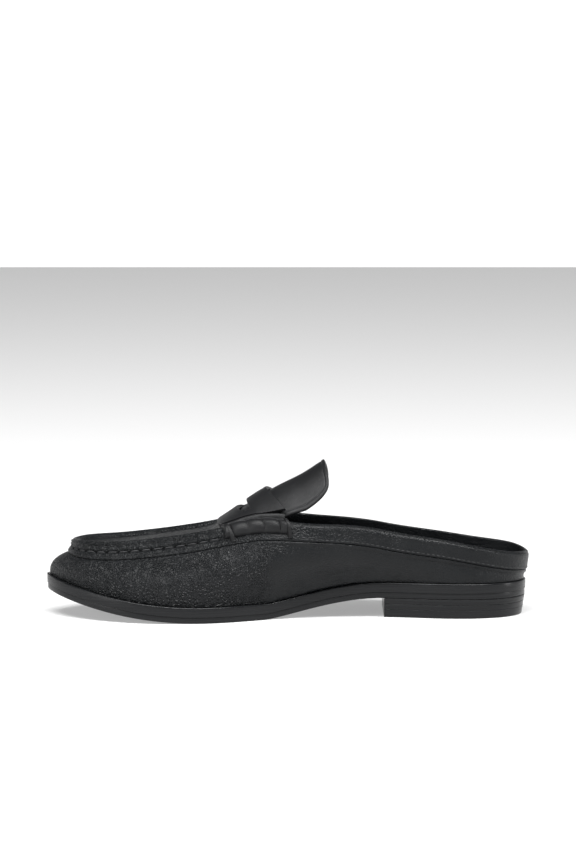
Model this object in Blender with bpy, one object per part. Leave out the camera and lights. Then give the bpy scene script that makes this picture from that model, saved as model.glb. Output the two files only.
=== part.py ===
"""Right-foot loafer mule with a moc toe, a saddle strap, a tall tongue and a low stacked heel.

Toe at -X, heel at +X, inner side of the foot at -Y, floor at z = 0. Lengths are metres. Inside the
functions a plan place is (u, y): u runs forward from the back of the sole, y is positive outwards
from the foot's middle line towards the outer side.
"""

import math
from collections import namedtuple

import bmesh
import bpy
import numpy as np

# Driving sizes of the sole and heel
LENGTH = 0.264
BALL_WIDTH = 0.091
BACK_OVERHANG = 0.0018
SOLE_THICKNESS = 0.0087
OUTSOLE_THICKNESS = 0.0034
HEEL_HEIGHT = 0.0107
HEEL_LENGTH = 0.2973 * LENGTH
TOP_PIECE_THICKNESS = 0.0045
HEEL_LIFTS = 2
HEEL_TAPER_BACK = 0.0017
TOE_SPRING = 0.0138
FLAT_FROM = 0.5492 * LENGTH
FLAT_TO = 0.6629 * LENGTH
ARCH_SKEW = 0.8
EDGE_BEVEL = 0.0005
WELT_PROUD = 0.0004

# Driving sizes of the upper
THROAT_RISE = 0.0457
WALL = 0.0020
BAND_HEIGHT = 0.0096
BAND_STEP = 0.0010
RIM_SINK = 0.0018
RIM_PROUD = 0.0007
RIM_GROOVE = 0.0009
TOP_EDGE = 0.0026
COLLAR_EDGE = 0.0019
PLUG_ARC = 0.0125
FEATHER_INSET = 0.0024
THROAT_AT = 0.5568 * LENGTH
TOE_CORNER_AT = 0.8864 * LENGTH
THROAT_FLARE = 0.13
FLARE_REACH = 0.5
ARCH_POWER = 2.0
BELLY_HEIGHT = 0.5
LIP_REACH = 0.45

# Strap, rolls, tongue, insole and the gap that separate pieces keep
STRAP_THICKNESS = 0.0022
STRAP_FRONT_AT = 0.6402 * LENGTH
STRAP_BACK_AT = 0.5379 * LENGTH
STRAP_BACK_SWEEP = 0.0100
STRAP_FRONT_SWEEP = 0.0020
SLOT_FRONT_AT = 0.5992 * LENGTH
SLOT_BACK_AT = 0.5788 * LENGTH
SLOT_HALF_LENGTH = 0.0190
SLOT_END_SHARE = 0.6
SLOT_SWEEP_SHARE = 0.45
ROLL_THICKNESS = 0.0036
ROLL_FRONT_AT = 0.6333 * LENGTH
ROLL_BACK_AT = 0.5038 * LENGTH
ROLL_FIRST_GROOVE = 0.113
ROLL_GROOVE_PITCH = 0.258
ROLL_GROOVE = 0.30
ROLL_FULLNESS = 0.6
ROLL_SEAT = 0.0004
TONGUE_THICKNESS = 0.0018
TONGUE_FRONT_AT = 0.6212 * LENGTH
TONGUE_BACK_AT = 0.4152 * LENGTH
TONGUE_HALF_WIDTH = 0.0262
TONGUE_TUCK = 0.0050
TONGUE_CORNER = 0.75
TONGUE_CORNER_DEPTH = 0.0120
TONGUE_CORNER_POWER = 2.5
TONGUE_TIP_SET_BACK = 0.0031
INSOLE_THICKNESS = 0.0030
GAP = 0.0003

# How finely the curved surfaces are cut into faces, and read for their slope
TOE_STEPS = 12
SIDE_STEPS = 15
COLLAR_STEPS = 40
WALL_STEPS = 7
LINING_STEPS = 5
SOLE_STEPS = 44
HEEL_STEPS = 14
ROLL_STEPS = 29
DENSE = 2400
SLOPE_STEP = 0.0005
SHARP_EDGE = math.radians(35)

# One row for each section round the shoe. Shares of LENGTH: sole_u, rim_u. Shares of BALL_WIDTH:
# sole_y, rim_y, belly. Share of THROAT_RISE above the sole: rise. Shares of BAND_HEIGHT: drop and
# out, from the rim down and outwards to the band's lower lip. Degrees from level just below the
# lip: lean. Share of FEATHER_INSET: inset. Moc seam from 0, none, to 1, full: moc.
Section = namedtuple(
    "Section", "sole_u sole_y rim_u rim_y rise drop out lean belly inset moc"
)
BACK = Section(0.0, 0.0, -0.0032, 0.0, 0.324, 1.00, -0.10, 88, -0.002, 0.40, 0.0)
INNER_SIDE = [
    Section(0.011, 0.126, 0.007, 0.117, 0.341, 1.00, -0.09, 88, 0.002, 0.42, 0.0),
    Section(0.038, 0.222, 0.033, 0.209, 0.361, 1.00, -0.05, 88, 0.006, 0.45, 0.0),
    Section(0.095, 0.297, 0.095, 0.281, 0.427, 0.99, 0.00, 88, 0.010, 0.50, 0.0),
    Section(0.170, 0.305, 0.170, 0.299, 0.516, 1.00, 0.06, 88, 0.016, 0.50, 0.0),
    Section(0.265, 0.251, 0.265, 0.297, 0.604, 1.02, 0.12, 88, 0.044, 0.45, 0.0),
    Section(0.379, 0.229, 0.379, 0.322, 0.751, 1.01, 0.22, 84, 0.075, 0.45, 0.0),
    Section(0.462, 0.253, 0.458, 0.336, 0.867, 0.98, 0.36, 76, 0.080, 0.55, 0.0),
    Section(0.549, 0.344, 0.542, 0.297, 1.000, 1.10, 0.68, 62, 0.055, 0.80, 0.0),
    Section(0.625, 0.453, 0.610, 0.277, 0.939, 0.99, 0.81, 52, 0.032, 0.95, 0.3),
    Section(0.720, 0.505, 0.693, 0.256, 0.834, 0.98, 0.93, 45, 0.026, 1.00, 1.0),
    Section(0.807, 0.480, 0.777, 0.248, 0.733, 1.00, 0.91, 42, 0.024, 1.00, 1.0),
    Section(0.883, 0.391, 0.848, 0.233, 0.635, 0.97, 0.83, 38, 0.022, 0.95, 1.0),
    Section(0.939, 0.280, 0.900, 0.192, 0.571, 0.93, 0.68, 30, 0.018, 0.85, 1.0),
    Section(0.975, 0.173, 0.925, 0.119, 0.532, 0.85, 0.56, 24, 0.014, 0.75, 1.0),
    Section(0.9936, 0.080, 0.935, 0.055, 0.512, 0.76, 0.48, 21, 0.011, 0.70, 1.0),
]
TOE = Section(1.0, -0.012, 0.9375, -0.012, 0.507, 0.71, 0.45, 20, 0.010, 0.70, 1.0)
OUTER_SIDE = [
    Section(0.011, 0.126, 0.007, 0.117, 0.352, 1.00, -0.09, 88, 0.002, 0.42, 0.0),
    Section(0.038, 0.222, 0.033, 0.209, 0.381, 1.00, -0.05, 88, 0.006, 0.45, 0.0),
    Section(0.095, 0.299, 0.095, 0.288, 0.416, 0.99, 0.00, 88, 0.010, 0.50, 0.0),
    Section(0.170, 0.327, 0.170, 0.316, 0.477, 1.00, 0.06, 88, 0.014, 0.50, 0.0),
    Section(0.265, 0.335, 0.265, 0.333, 0.554, 1.02, 0.12, 88, 0.018, 0.50, 0.0),
    Section(0.379, 0.363, 0.379, 0.352, 0.689, 1.01, 0.22, 86, 0.020, 0.55, 0.0),
    Section(0.462, 0.400, 0.458, 0.354, 0.821, 0.98, 0.36, 78, 0.022, 0.65, 0.0),
    Section(0.549, 0.451, 0.542, 0.313, 0.961, 1.08, 0.68, 64, 0.024, 0.80, 0.0),
    Section(0.625, 0.488, 0.610, 0.290, 0.908, 0.99, 0.81, 54, 0.026, 0.95, 0.3),
    Section(0.720, 0.495, 0.693, 0.266, 0.810, 0.98, 0.93, 46, 0.026, 1.00, 1.0),
    Section(0.807, 0.433, 0.777, 0.248, 0.716, 1.00, 0.91, 42, 0.024, 1.00, 1.0),
    Section(0.883, 0.338, 0.848, 0.224, 0.624, 0.97, 0.83, 38, 0.022, 0.95, 1.0),
    Section(0.939, 0.231, 0.900, 0.174, 0.560, 0.93, 0.68, 30, 0.018, 0.85, 1.0),
    Section(0.975, 0.136, 0.925, 0.099, 0.527, 0.85, 0.56, 24, 0.014, 0.75, 1.0),
    Section(0.9936, 0.060, 0.935, 0.037, 0.510, 0.76, 0.48, 21, 0.011, 0.70, 1.0),
]

# The middle line of the instep, plug first, then under the strap and along the tongue: shares of
# LENGTH, and of THROAT_RISE above the sole.
RidgeRow = namedtuple("RidgeRow", "along rise")
RIDGE = [
    RidgeRow(0.409, 1.617),
    RidgeRow(0.4545, 1.501),
    RidgeRow(0.500, 1.392),
    RidgeRow(0.543, 1.272),
    RidgeRow(0.584, 1.118),
    RidgeRow(0.605, 1.028),
    RidgeRow(0.625, 0.945),
    RidgeRow(0.644, 0.867),
    RidgeRow(0.674, 0.810),
    RidgeRow(0.720, 0.768),
    RidgeRow(0.803, 0.663),
    RidgeRow(0.867, 0.569),
    RidgeRow(0.9375, 0.470),
]

# The band's outer face, from its lower lip to its top edge: way up it, and its height above the
# plain band in shares of BAND_STEP, RIM_PROUD and minus RIM_GROOVE.
BandRow = namedtuple("BandRow", "way step proud groove")
BAND_FACE = [
    BandRow(0.02, 1.0, 0.0, 0.0),
    BandRow(0.40, 1.0, 0.0, 0.0),
    BandRow(0.44, 1.0, 0.0, 1.0),
    BandRow(0.50, 1.0, 0.6, 0.0),
    BandRow(0.75, 1.0, 1.0, 0.0),
    BandRow(0.93, 0.8, 0.7, 0.0),
]

# A strap roll over the leather below it, from its inner edge over the crest to its lower edge: the
# part of the upper that it lies on, the lean of its thickness from straight up to square off the
# band, and its height in shares of ROLL_THICKNESS.
RollRow = namedtuple("RollRow", "seat lean height")
ROLL_SECTION = [
    RollRow("foot", 0.0, 0.62),
    RollRow("crest", 0.5, 0.88),
    RollRow(0.93, 0.75, 1.00),
    RollRow(0.75, 1.0, 1.00),
    RollRow(0.50, 1.0, 0.86),
    RollRow(0.36, 1.0, 0.66),
    RollRow(0.20, 1.0, 0.20),
]

LEATHER = (0.0125, 0.0130, 0.0138)
LINING = (0.0180, 0.0180, 0.0185)
RUBBER = (0.0140, 0.0140, 0.0145)


def smoothstep(t):
    """Rise from 0 to 1 with level ends."""
    t = np.clip(t, 0.0, 1.0)
    return t * t * (3.0 - 2.0 * t)


def outsole_bottom(u):
    """Height of the walking surface: heel seat, arch, flat tread, toe spring."""
    u = np.asarray(u, float)
    back = (FLAT_FROM - u) / (FLAT_FROM - HEEL_LENGTH)
    arch = HEEL_HEIGHT * smoothstep(np.clip(back, 0.0, 1.0) ** ARCH_SKEW)
    front = np.clip((u - FLAT_TO) / (LENGTH - FLAT_TO), 0.0, None)
    return arch + TOE_SPRING * front**2


def sole_top(u):
    """Height of the surface that the upper stands on."""
    return outsole_bottom(u) + SOLE_THICKNESS


def spline_bends(knots, values, closed):
    """Second derivatives of the smooth curve through values at knots."""
    count = len(values)
    step = np.diff(knots)
    system = np.eye(count)
    right = np.zeros(values.shape)
    for i in range(count):
        if not closed and i in (0, count - 1):
            continue
        before, after = (i - 1) % count, (i + 1) % count
        left_step, right_step = step[i - 1], step[i]
        system[i] = 0.0
        system[i, before] += left_step
        system[i, i] += 2.0 * (left_step + right_step)
        system[i, after] += right_step
        rise = (values[after] - values[i]) / right_step
        right[i] = 6.0 * (rise - (values[i] - values[before]) / left_step)
    return np.linalg.solve(system, right)


def spline(knots, values, at, closed=False):
    """Smooth curve through values at knots, read at the places in at."""
    bends = spline_bends(knots, values, closed)
    if closed:
        values = np.vstack([values, values[:1]])
        bends = np.vstack([bends, bends[:1]])
        at = np.mod(at, knots[-1])
    i = np.clip(np.searchsorted(knots, at, "right") - 1, 0, len(knots) - 2)
    step = (knots[i + 1] - knots[i])[:, None]
    a = (knots[i + 1] - at)[:, None] / step
    b = 1.0 - a
    curve = (a**3 - a) * bends[i] + (b**3 - b) * bends[i + 1]
    return a * values[i] + b * values[i + 1] + curve * step**2 / 6.0


def section_table():
    """All sections in metres round the shoe, from the back along the inner side to the toe."""
    rows = [BACK] + INNER_SIDE + [TOE] + OUTER_SIDE[::-1]
    table = np.array(rows, float)
    side = np.ones(len(rows))
    side[1 : len(INNER_SIDE) + 1] = -1.0
    table[:, [0, 2]] *= LENGTH
    table[:, [1, 3, 8]] *= BALL_WIDTH
    table[:, 1] *= side
    table[:, 3] *= side
    table[:, 4] *= THROAT_RISE
    table[:, [5, 6]] *= BAND_HEIGHT
    table[:, 7] = np.radians(table[:, 7])
    table[:, 9] *= FEATHER_INSET
    return table


TABLE = section_table()
_steps = np.linalg.norm(np.diff(np.vstack([TABLE[:, :2], TABLE[:1, :2]]), axis=0), axis=1)
KNOTS = np.concatenate([[0.0], np.cumsum(_steps)])
AROUND = KNOTS[-1]
TOE_KNOT = KNOTS[len(INNER_SIDE) + 1]


def sections(around):
    """Sections at places around the shoe, with the outline's outward direction in plan."""
    around = np.asarray(around, float)
    values = spline(KNOTS, TABLE, around, closed=True)
    nudge = AROUND / DENSE
    ahead = spline(KNOTS, TABLE[:, :2], around + nudge, closed=True)
    behind = spline(KNOTS, TABLE[:, :2], around - nudge, closed=True)
    tangent = (ahead - behind) / np.linalg.norm(ahead - behind, axis=1)[:, None]
    outward = np.stack([tangent[:, 1], -tangent[:, 0]], axis=1)
    return Section(*values.T), outward


def place(u, y, z):
    """Points (u, y, z) stacked on the last axis."""
    return np.stack(np.broadcast_arrays(u, y, z), axis=-1)


def rim_points(around):
    """Crest of the rim or collar, and the inner foot of that crest."""
    row, outward = sections(around)
    crest = place(row.rim_u, row.rim_y, sole_top(row.rim_u) + row.rise)
    foot = crest.copy()
    edge = COLLAR_EDGE + (TOP_EDGE - COLLAR_EDGE) * row.moc
    foot[:, :2] -= outward * edge[:, None]
    foot[:, 2] -= RIM_SINK * row.moc
    return crest, foot


def wall_surface(around, steps):
    """The plain wall from the sole to the band's lower lip, a row for each height."""
    row, outward = sections(around)
    up = np.array([0.0, 0.0, 1.0])
    out = np.column_stack([outward, np.zeros(len(outward))])
    crest, _ = rim_points(around)
    base = place(row.sole_u, row.sole_y, 0.0) - out * row.inset[:, None]
    base[:, 2] = sole_top(base[:, 0]) + GAP
    lip = crest + out * row.out[:, None] - up * row.drop[:, None]
    height = (lip[:, 2] - base[:, 2])[:, None]
    reach = np.linalg.norm(lip - base, axis=1)[:, None] * LIP_REACH
    lean = row.lean[:, None]
    first = base + out * row.belly[:, None] + up * height * BELLY_HEIGHT
    second = lip + (out * np.cos(lean) - up * np.sin(lean)) * reach
    t = np.linspace(0.0, 1.0, steps + 1)[:, None, None]
    s = 1.0 - t
    return s**3 * base + 3 * s * s * t * first + 3 * s * t * t * second + t**3 * lip


def surface_normals(points):
    """Outward normals of a wall surface that closes round its second axis."""
    padded = np.concatenate([points[:, -1:], points, points[:, :1]], axis=1)
    along = padded[:, 2:] - padded[:, :-2]
    rise = np.gradient(points, axis=0)
    normal = np.cross(along, rise)
    return normal / np.linalg.norm(normal, axis=2)[..., None]


def band_surface(around):
    """The band's outer face above the lip, then the crest and its inner foot."""
    row, outward = sections(around)
    crest, foot = rim_points(around)
    out = np.column_stack([outward, np.zeros(len(outward))])
    up = np.array([0.0, 0.0, 1.0])
    lip = crest + out * row.out[:, None] - up * row.drop[:, None]
    face = out * row.drop[:, None] + up * row.out[:, None]
    face /= np.linalg.norm(face, axis=1)[:, None]
    rows = []
    for band in BAND_FACE:
        height = band.step * BAND_STEP
        height += row.moc * (band.proud * RIM_PROUD - band.groove * RIM_GROOVE)
        rows.append(lip + (crest - lip) * band.way + face * height[:, None])
    return np.stack(rows + [crest, foot])


def lining_surface(around, steps):
    """The inner face of the wall, then of the band, up to the inner edge of the top."""
    outer = wall_surface(around, steps)
    inner = outer - surface_normals(outer) * WALL
    inner[0, :, 2] = sole_top(inner[0, :, 0]) + GAP
    _, foot = rim_points(around)
    edge = foot - np.array([0.0, 0.0, WALL])
    middle = (inner[-1] + edge) / 2.0
    return np.concatenate([inner, middle[None], edge[None]])


def around_at(u, inner_side, of_rim=True):
    """Place around the shoe where the rim, or the sole's edge, reaches u on one side."""
    if inner_side:
        places = np.linspace(0.0, TOE_KNOT, DENSE)
    else:
        places = np.linspace(AROUND, TOE_KNOT, DENSE)
    row, _ = sections(places)
    return np.interp(u, row.rim_u if of_rim else row.sole_u, places)


def stations():
    """Places around the shoe: inner throat, toe corners, outer throat, then the collar."""
    throat_in = around_at(THROAT_AT, True)
    corner_in = around_at(TOE_CORNER_AT, True)
    corner_out = around_at(TOE_CORNER_AT, False)
    throat_out = around_at(THROAT_AT, False)
    spans = [
        (throat_in, corner_in, SIDE_STEPS),
        (corner_in, corner_out, TOE_STEPS),
        (corner_out, throat_out, SIDE_STEPS),
        (throat_out, throat_in + AROUND, COLLAR_STEPS),
    ]
    return np.concatenate([np.linspace(a, b, n, endpoint=False) for a, b, n in spans])


def foot_line(inner_side):
    """The plug's edge on one side as (u, y, z) by rising u, from throat to toe corner."""
    ends = around_at([THROAT_AT, TOE_CORNER_AT], inner_side)
    _, foot = rim_points(np.linspace(ends[0], ends[1], DENSE // 4))
    return foot


FOOT_LINES = {True: foot_line(True), False: foot_line(False)}


def ridge_height(u):
    """Height of the instep's middle line."""
    rows = np.array(RIDGE, float)
    rise = spline(rows[:, 0] * LENGTH, rows[:, 1:] * THROAT_RISE, np.ravel(u))[:, 0]
    return sole_top(u) + rise.reshape(np.shape(u))


def side_edge(u, inner_side):
    """Half width and height of the instep surface's edge on one side."""
    line = FOOT_LINES[inner_side]
    half = np.interp(u, line[:, 0], np.abs(line[:, 1]))
    behind = smoothstep((THROAT_AT - u) / (THROAT_AT - TONGUE_BACK_AT) / FLARE_REACH)
    half = half * (1.0 + THROAT_FLARE * behind)
    rise = line[0, 2] - sole_top(line[0, 0])
    height = np.where(
        u < line[0, 0], sole_top(u) + rise, np.interp(u, line[:, 0], line[:, 2])
    )
    return half, height


def instep(u, y):
    """Height of the instep surface: plug, and its run under the strap and the tongue."""
    u, y = np.broadcast_arrays(np.asarray(u, float), np.asarray(y, float))
    half_in, edge_in = side_edge(u, True)
    half_out, edge_out = side_edge(u, False)
    half = np.where(y < 0.0, half_in, half_out)
    edge = np.where(y < 0.0, edge_in, edge_out)
    ridge = ridge_height(u)
    return ridge - (ridge - edge) * (np.abs(y) / half) ** ARCH_POWER


def above_instep(u, y, lift):
    """Points at the distance lift from the instep surface, along its normal."""
    step = SLOPE_STEP
    slope_u = (instep(u + step, y) - instep(u - step, y)) / (2.0 * step)
    slope_y = (instep(u, y + step) - instep(u, y - step)) / (2.0 * step)
    normal = place(-slope_u, -slope_y, 1.0)
    normal /= np.linalg.norm(normal, axis=-1)[..., None]
    return place(u, y, instep(u, y)) + normal * lift


def fill_patch(rear, inner, front, outer):
    """Points across a patch with four edges; rows run forwards, columns outwards."""
    rows, columns = len(inner), len(rear)
    a = np.linspace(0.0, 1.0, rows)[:, None, None]
    b = np.linspace(0.0, 1.0, columns)[None, :, None]
    sides = (1 - b) * inner[:, None] + b * outer[:, None]
    ends = (1 - a) * rear[None] + a * front[None]
    corners = (1 - a) * ((1 - b) * rear[0] + b * rear[-1])
    corners = corners + a * ((1 - b) * front[0] + b * front[-1])
    return sides + ends - corners


def plug_patch(edge_ring, lift):
    """The plug inside the rim: a ring row supplies its edge, the instep surface the rest."""
    inner = edge_ring[: SIDE_STEPS + 1]
    front = edge_ring[SIDE_STEPS : SIDE_STEPS + TOE_STEPS + 1]
    last = 2 * SIDE_STEPS + TOE_STEPS
    outer = edge_ring[SIDE_STEPS + TOE_STEPS : last + 1][::-1]
    across = np.linspace(0.0, 1.0, TOE_STEPS + 1)[:, None]
    rear = inner[0] * (1 - across) + outer[0] * across
    rear[:, :1] += PLUG_ARC * 4.0 * across * (1 - across)
    rear[1:-1, 2] = above_instep(rear[1:-1, 0], rear[1:-1, 1], lift)[:, 2]
    patch = fill_patch(rear, inner, front, outer)
    shape = instep(patch[..., 0], patch[..., 1])
    off = patch[..., 2] - shape
    edges = off[0], off[:, 0], off[-1], off[:, -1]
    blend = fill_patch(*[edge[:, None] for edge in edges])[..., 0]
    patch[..., 2] = shape + blend
    return patch


class Shell:
    """Collects points and faces of one closed body."""

    def __init__(self):
        self.mesh = bmesh.new()

    def add(self, points):
        """New vertices, in the array shape of points."""
        flat = points.reshape(-1, 3)
        made = [self.mesh.verts.new(to_world(point)) for point in flat]
        return np.array(made, object).reshape(points.shape[:-1])

    def face(self, corners):
        """One face, without corners that repeat."""
        kept = list(dict.fromkeys(corners))
        if len(kept) > 2:
            self.mesh.faces.new(kept)

    def grid(self, verts, closed=False, mask=None):
        """Faces between neighbouring vertices of a grid."""
        rows, columns = verts.shape
        for i in range(rows - 1):
            for j in range(columns if closed else columns - 1):
                if mask is None or mask[i, j]:
                    k = (j + 1) % columns
                    self.face([verts[i, j], verts[i, k], verts[i + 1, k], verts[i + 1, j]])

    def rim(self, first, second):
        """Faces that close the way between two lines of vertices."""
        for i in range(len(first) - 1):
            self.face([first[i], first[i + 1], second[i + 1], second[i]])

    def finish(self, name, material):
        """The object, with its faces pointing out."""
        bmesh.ops.recalc_face_normals(self.mesh, faces=self.mesh.faces)
        if self.mesh.calc_volume(signed=True) < 0.0:
            bmesh.ops.reverse_faces(self.mesh, faces=self.mesh.faces)
        data = bpy.data.meshes.new(name)
        self.mesh.to_mesh(data)
        self.mesh.free()
        data.shade_smooth()
        data.set_sharp_from_angle(angle=SHARP_EDGE)
        data.materials.append(material)
        made = bpy.data.objects.new(name, data)
        bpy.context.scene.collection.objects.link(made)
        return made


def side_middle():
    """How far the outline's middle lies from the middle line."""
    row, _ = sections(np.linspace(0.0, AROUND, DENSE))
    return (row.sole_y.min() + row.sole_y.max()) / 2.0


LENGTH_MIDDLE = (LENGTH - BACK_OVERHANG) / 2.0
WIDTH_MIDDLE = side_middle()


def to_world(point):
    """A place (u, y, z) in the part's own frame."""
    return (LENGTH_MIDDLE - point[0], point[1] - WIDTH_MIDDLE, point[2])


def sheet(name, material, lower, upper, mask=None):
    """A closed sheet between two grids of points; mask leaves out faces that are cut away."""
    shell = Shell()
    low, high = shell.add(lower), shell.add(upper)
    rows, columns = low.shape
    if mask is None:
        mask = np.ones((rows - 1, columns - 1), bool)
    shell.grid(low, mask=mask)
    shell.grid(high, mask=mask)
    padded = np.pad(mask, 1)
    for i in range(rows):
        for j in range(columns - 1):
            if padded[i, j + 1] != padded[i + 1, j + 1]:
                shell.face([low[i, j], low[i, j + 1], high[i, j + 1], high[i, j]])
    for i in range(rows - 1):
        for j in range(columns):
            if padded[i + 1, j] != padded[i + 1, j + 1]:
                shell.face([low[i, j], low[i + 1, j], high[i + 1, j], high[i, j]])
    loose = [vert for vert in shell.mesh.verts if not vert.link_faces]
    bmesh.ops.delete(shell.mesh, geom=loose, context="VERTS")
    return shell.finish(name, material)


def finish_material(name, colour, roughness):
    """A plain finish: colour, roughness, no metal."""
    material = bpy.data.materials.new(name)
    material.use_nodes = True
    shader = material.node_tree.nodes["Principled BSDF"]
    shader.inputs["Base Color"].default_value = (*colour, 1.0)
    shader.inputs["Roughness"].default_value = roughness
    shader.inputs["Metallic"].default_value = 0.0
    return material


def make_upper(material):
    """Vamp, quarters, band, rim and plug as one hollow wall, open at collar and underneath."""
    places = stations()
    outer = np.concatenate([wall_surface(places, WALL_STEPS), band_surface(places)])
    inner = lining_surface(places, LINING_STEPS)
    plug_outer = plug_patch(outer[-1], 0.0)
    plug_inner = plug_patch(inner[-1], -WALL)
    shell = Shell()
    ring_out, ring_in = shell.add(outer), shell.add(inner)
    shell.grid(ring_out, closed=True)
    shell.grid(ring_in, closed=True)
    shell.rim(np.append(ring_out[0], ring_out[0, 0]), np.append(ring_in[0], ring_in[0, 0]))
    last = 2 * SIDE_STEPS + TOE_STEPS
    collar_out = np.append(ring_out[-1, last:], ring_out[-1, 0])
    collar_in = np.append(ring_in[-1, last:], ring_in[-1, 0])
    shell.rim(collar_out, collar_in)
    rears = []
    for ring, patch in ((ring_out, plug_outer), (ring_in, plug_inner)):
        grid = np.empty(patch.shape[:-1], object)
        grid[:, 0] = ring[-1, : SIDE_STEPS + 1]
        grid[:, -1] = ring[-1, SIDE_STEPS + TOE_STEPS : last + 1][::-1]
        grid[-1] = ring[-1, SIDE_STEPS : SIDE_STEPS + TOE_STEPS + 1]
        grid[:-1, 1:-1] = shell.add(patch[:-1, 1:-1])
        shell.grid(grid)
        rears.append(grid[0])
    shell.rim(rears[0], rears[1])
    return shell.finish("upper", material)


def outline_at(u, inset, feathered):
    """The sole's edge at each u, moved in by inset and by a share of the feather's own inset."""
    lines = []
    for inner_side in (True, False):
        row, outward = sections(around_at(u, inner_side, of_rim=False))
        by = (inset + feathered * row.inset)[:, None]
        lines.append(place(row.sole_u, row.sole_y, 0.0)[:, :2] - outward * by)
    return lines


def layer(name, material, u, levels, feathered=0.0):
    """A slab with the sole's outline: each level has its inset and its height function."""
    shell = Shell()
    closed_front = abs(u[-1] - LENGTH) < GAP
    loops = []
    for inset, height in levels:
        inner, outer = outline_at(u, inset, feathered)
        inner[0] = outer[0] = (inner[0] + outer[0]) / 2.0
        if closed_front:
            inner[-1] = outer[-1] = (inner[-1] + outer[-1]) / 2.0
        else:
            inner[-1, 0] = outer[-1, 0] = u[-1]
        lines = []
        for line in (inner, outer):
            lines.append(shell.add(place(line[:, 0], line[:, 1], height(line[:, 0]))))
        lines[1][0] = merge(shell, lines[1][0], lines[0][0])
        if closed_front:
            lines[1][-1] = merge(shell, lines[1][-1], lines[0][-1])
        loops.append(lines)
    for below, above in zip(loops, loops[1:]):
        for side in (0, 1):
            shell.rim(below[side], above[side])
        if not closed_front:
            shell.face([below[0][-1], below[1][-1], above[1][-1], above[0][-1]])
    for end in (loops[0], loops[-1]):
        shell.rim(end[0], end[1])
    return shell.finish(name, material)


def merge(shell, spare, kept):
    """Drops a vertex that stands on another and returns the one that stays."""
    shell.mesh.verts.remove(spare)
    return kept


def round_spacing(count, last, open_front):
    """Places from the back forwards, closer together where the outline turns."""
    t = np.linspace(0.0, 1.0, count + 1)
    if open_front:
        return last * (1.0 - np.cos(t * math.pi / 2.0))
    return last * (1.0 - np.cos(t * math.pi)) / 2.0


def raised(height, by):
    """The height function, lifted by a fixed distance."""
    return lambda u: height(u) + by


def make_sole(material):
    """Outsole and midsole, each following the arch and toe spring."""
    u = round_spacing(SOLE_STEPS, LENGTH, False)
    top = OUTSOLE_THICKNESS - GAP
    layer(
        "outsole",
        material,
        u,
        [
            (WELT_PROUD + EDGE_BEVEL, outsole_bottom),
            (WELT_PROUD, raised(outsole_bottom, EDGE_BEVEL)),
            (WELT_PROUD, raised(outsole_bottom, top)),
        ],
    )
    layer(
        "midsole",
        material,
        u,
        [
            (0.0, raised(outsole_bottom, OUTSOLE_THICKNESS)),
            (0.0, raised(sole_top, -EDGE_BEVEL)),
            (EDGE_BEVEL, sole_top),
        ],
    )


def make_heel(material):
    """Stacked layers under the outsole, tapering in towards the floor."""
    u = round_spacing(HEEL_STEPS, HEEL_LENGTH, True)
    names = ["top_piece"] + [f"heel_lift_{i}" for i in range(HEEL_LIFTS, 0, -1)]
    seams = np.linspace(TOP_PIECE_THICKNESS, HEEL_HEIGHT, HEEL_LIFTS + 1)
    for name, low, high in zip(names, np.append(0.0, seams), seams):
        levels = []
        for z in (low, high - GAP):
            inset = WELT_PROUD + HEEL_TAPER_BACK * (1.0 - z / HEEL_HEIGHT)
            levels.append((inset, lambda at, z=z: np.full(np.shape(at), z)))
        layer(name, material, u, levels)


def make_insole(material):
    """Board inside the wall, on the midsole."""
    u = round_spacing(SOLE_STEPS, LENGTH, False)
    inset = WALL + 2.0 * GAP
    levels = [(inset, raised(sole_top, GAP)), (inset, raised(sole_top, INSOLE_THICKNESS))]
    layer("insole", material, u, levels, feathered=1.0)


def strap_end(u, inner_side):
    """Half width at which the strap stops short of its roll, leaning out as it does there."""
    half, edge = side_edge(u, inner_side)
    slope = np.clip(2.0 * (ridge_height(u) - edge) / half, 0.0, None)
    lean = slope / np.hypot(slope, 1.0)
    return half - 2.0 * GAP - (STRAP_THICKNESS + GAP) * lean


def make_strap(material):
    """The saddle strap over the instep, with its slot."""
    slot_half = SLOT_HALF_LENGTH
    half_in, _ = side_edge(np.array([SLOT_BACK_AT]), True)
    slot_share = slot_half / half_in[0]
    inside = np.linspace(-slot_share, slot_share, 19)
    wing = np.linspace(1.0, slot_share, 4, endpoint=False)
    across = np.concatenate([-wing, inside, wing[::-1]])
    bend = across**2
    front = STRAP_FRONT_AT - STRAP_FRONT_SWEEP * bend
    back = STRAP_BACK_AT - STRAP_BACK_SWEEP * bend
    width = (SLOT_FRONT_AT - SLOT_BACK_AT) / 2.0
    narrow = np.clip(np.abs(across) / slot_share, 0.0, 1.0) ** 2
    width = width * (1.0 - (1.0 - SLOT_END_SHARE) * narrow)
    middle = (SLOT_FRONT_AT + SLOT_BACK_AT) / 2.0 - STRAP_BACK_SWEEP * SLOT_SWEEP_SHARE * bend
    lines = [
        front,
        (front * 2 + middle + width) / 3,
        (front + (middle + width) * 2) / 3,
        middle + width,
        middle - width,
        ((middle - width) * 3 + back) / 4,
        ((middle - width) + back) / 2,
        ((middle - width) + back * 3) / 4,
        back,
    ]
    u = np.stack(lines)
    halves = [strap_end(u, inner_side) for inner_side in (True, False)]
    y = across * np.where(across < 0.0, halves[0], halves[1])
    mask = np.ones((len(lines) - 1, len(across) - 1), bool)
    mask[3, len(wing) : -len(wing)] = False
    lower = above_instep(u, y, GAP)
    upper = above_instep(u, y, GAP + STRAP_THICKNESS)
    return sheet("saddle_strap", material, lower, upper, mask)


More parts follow.
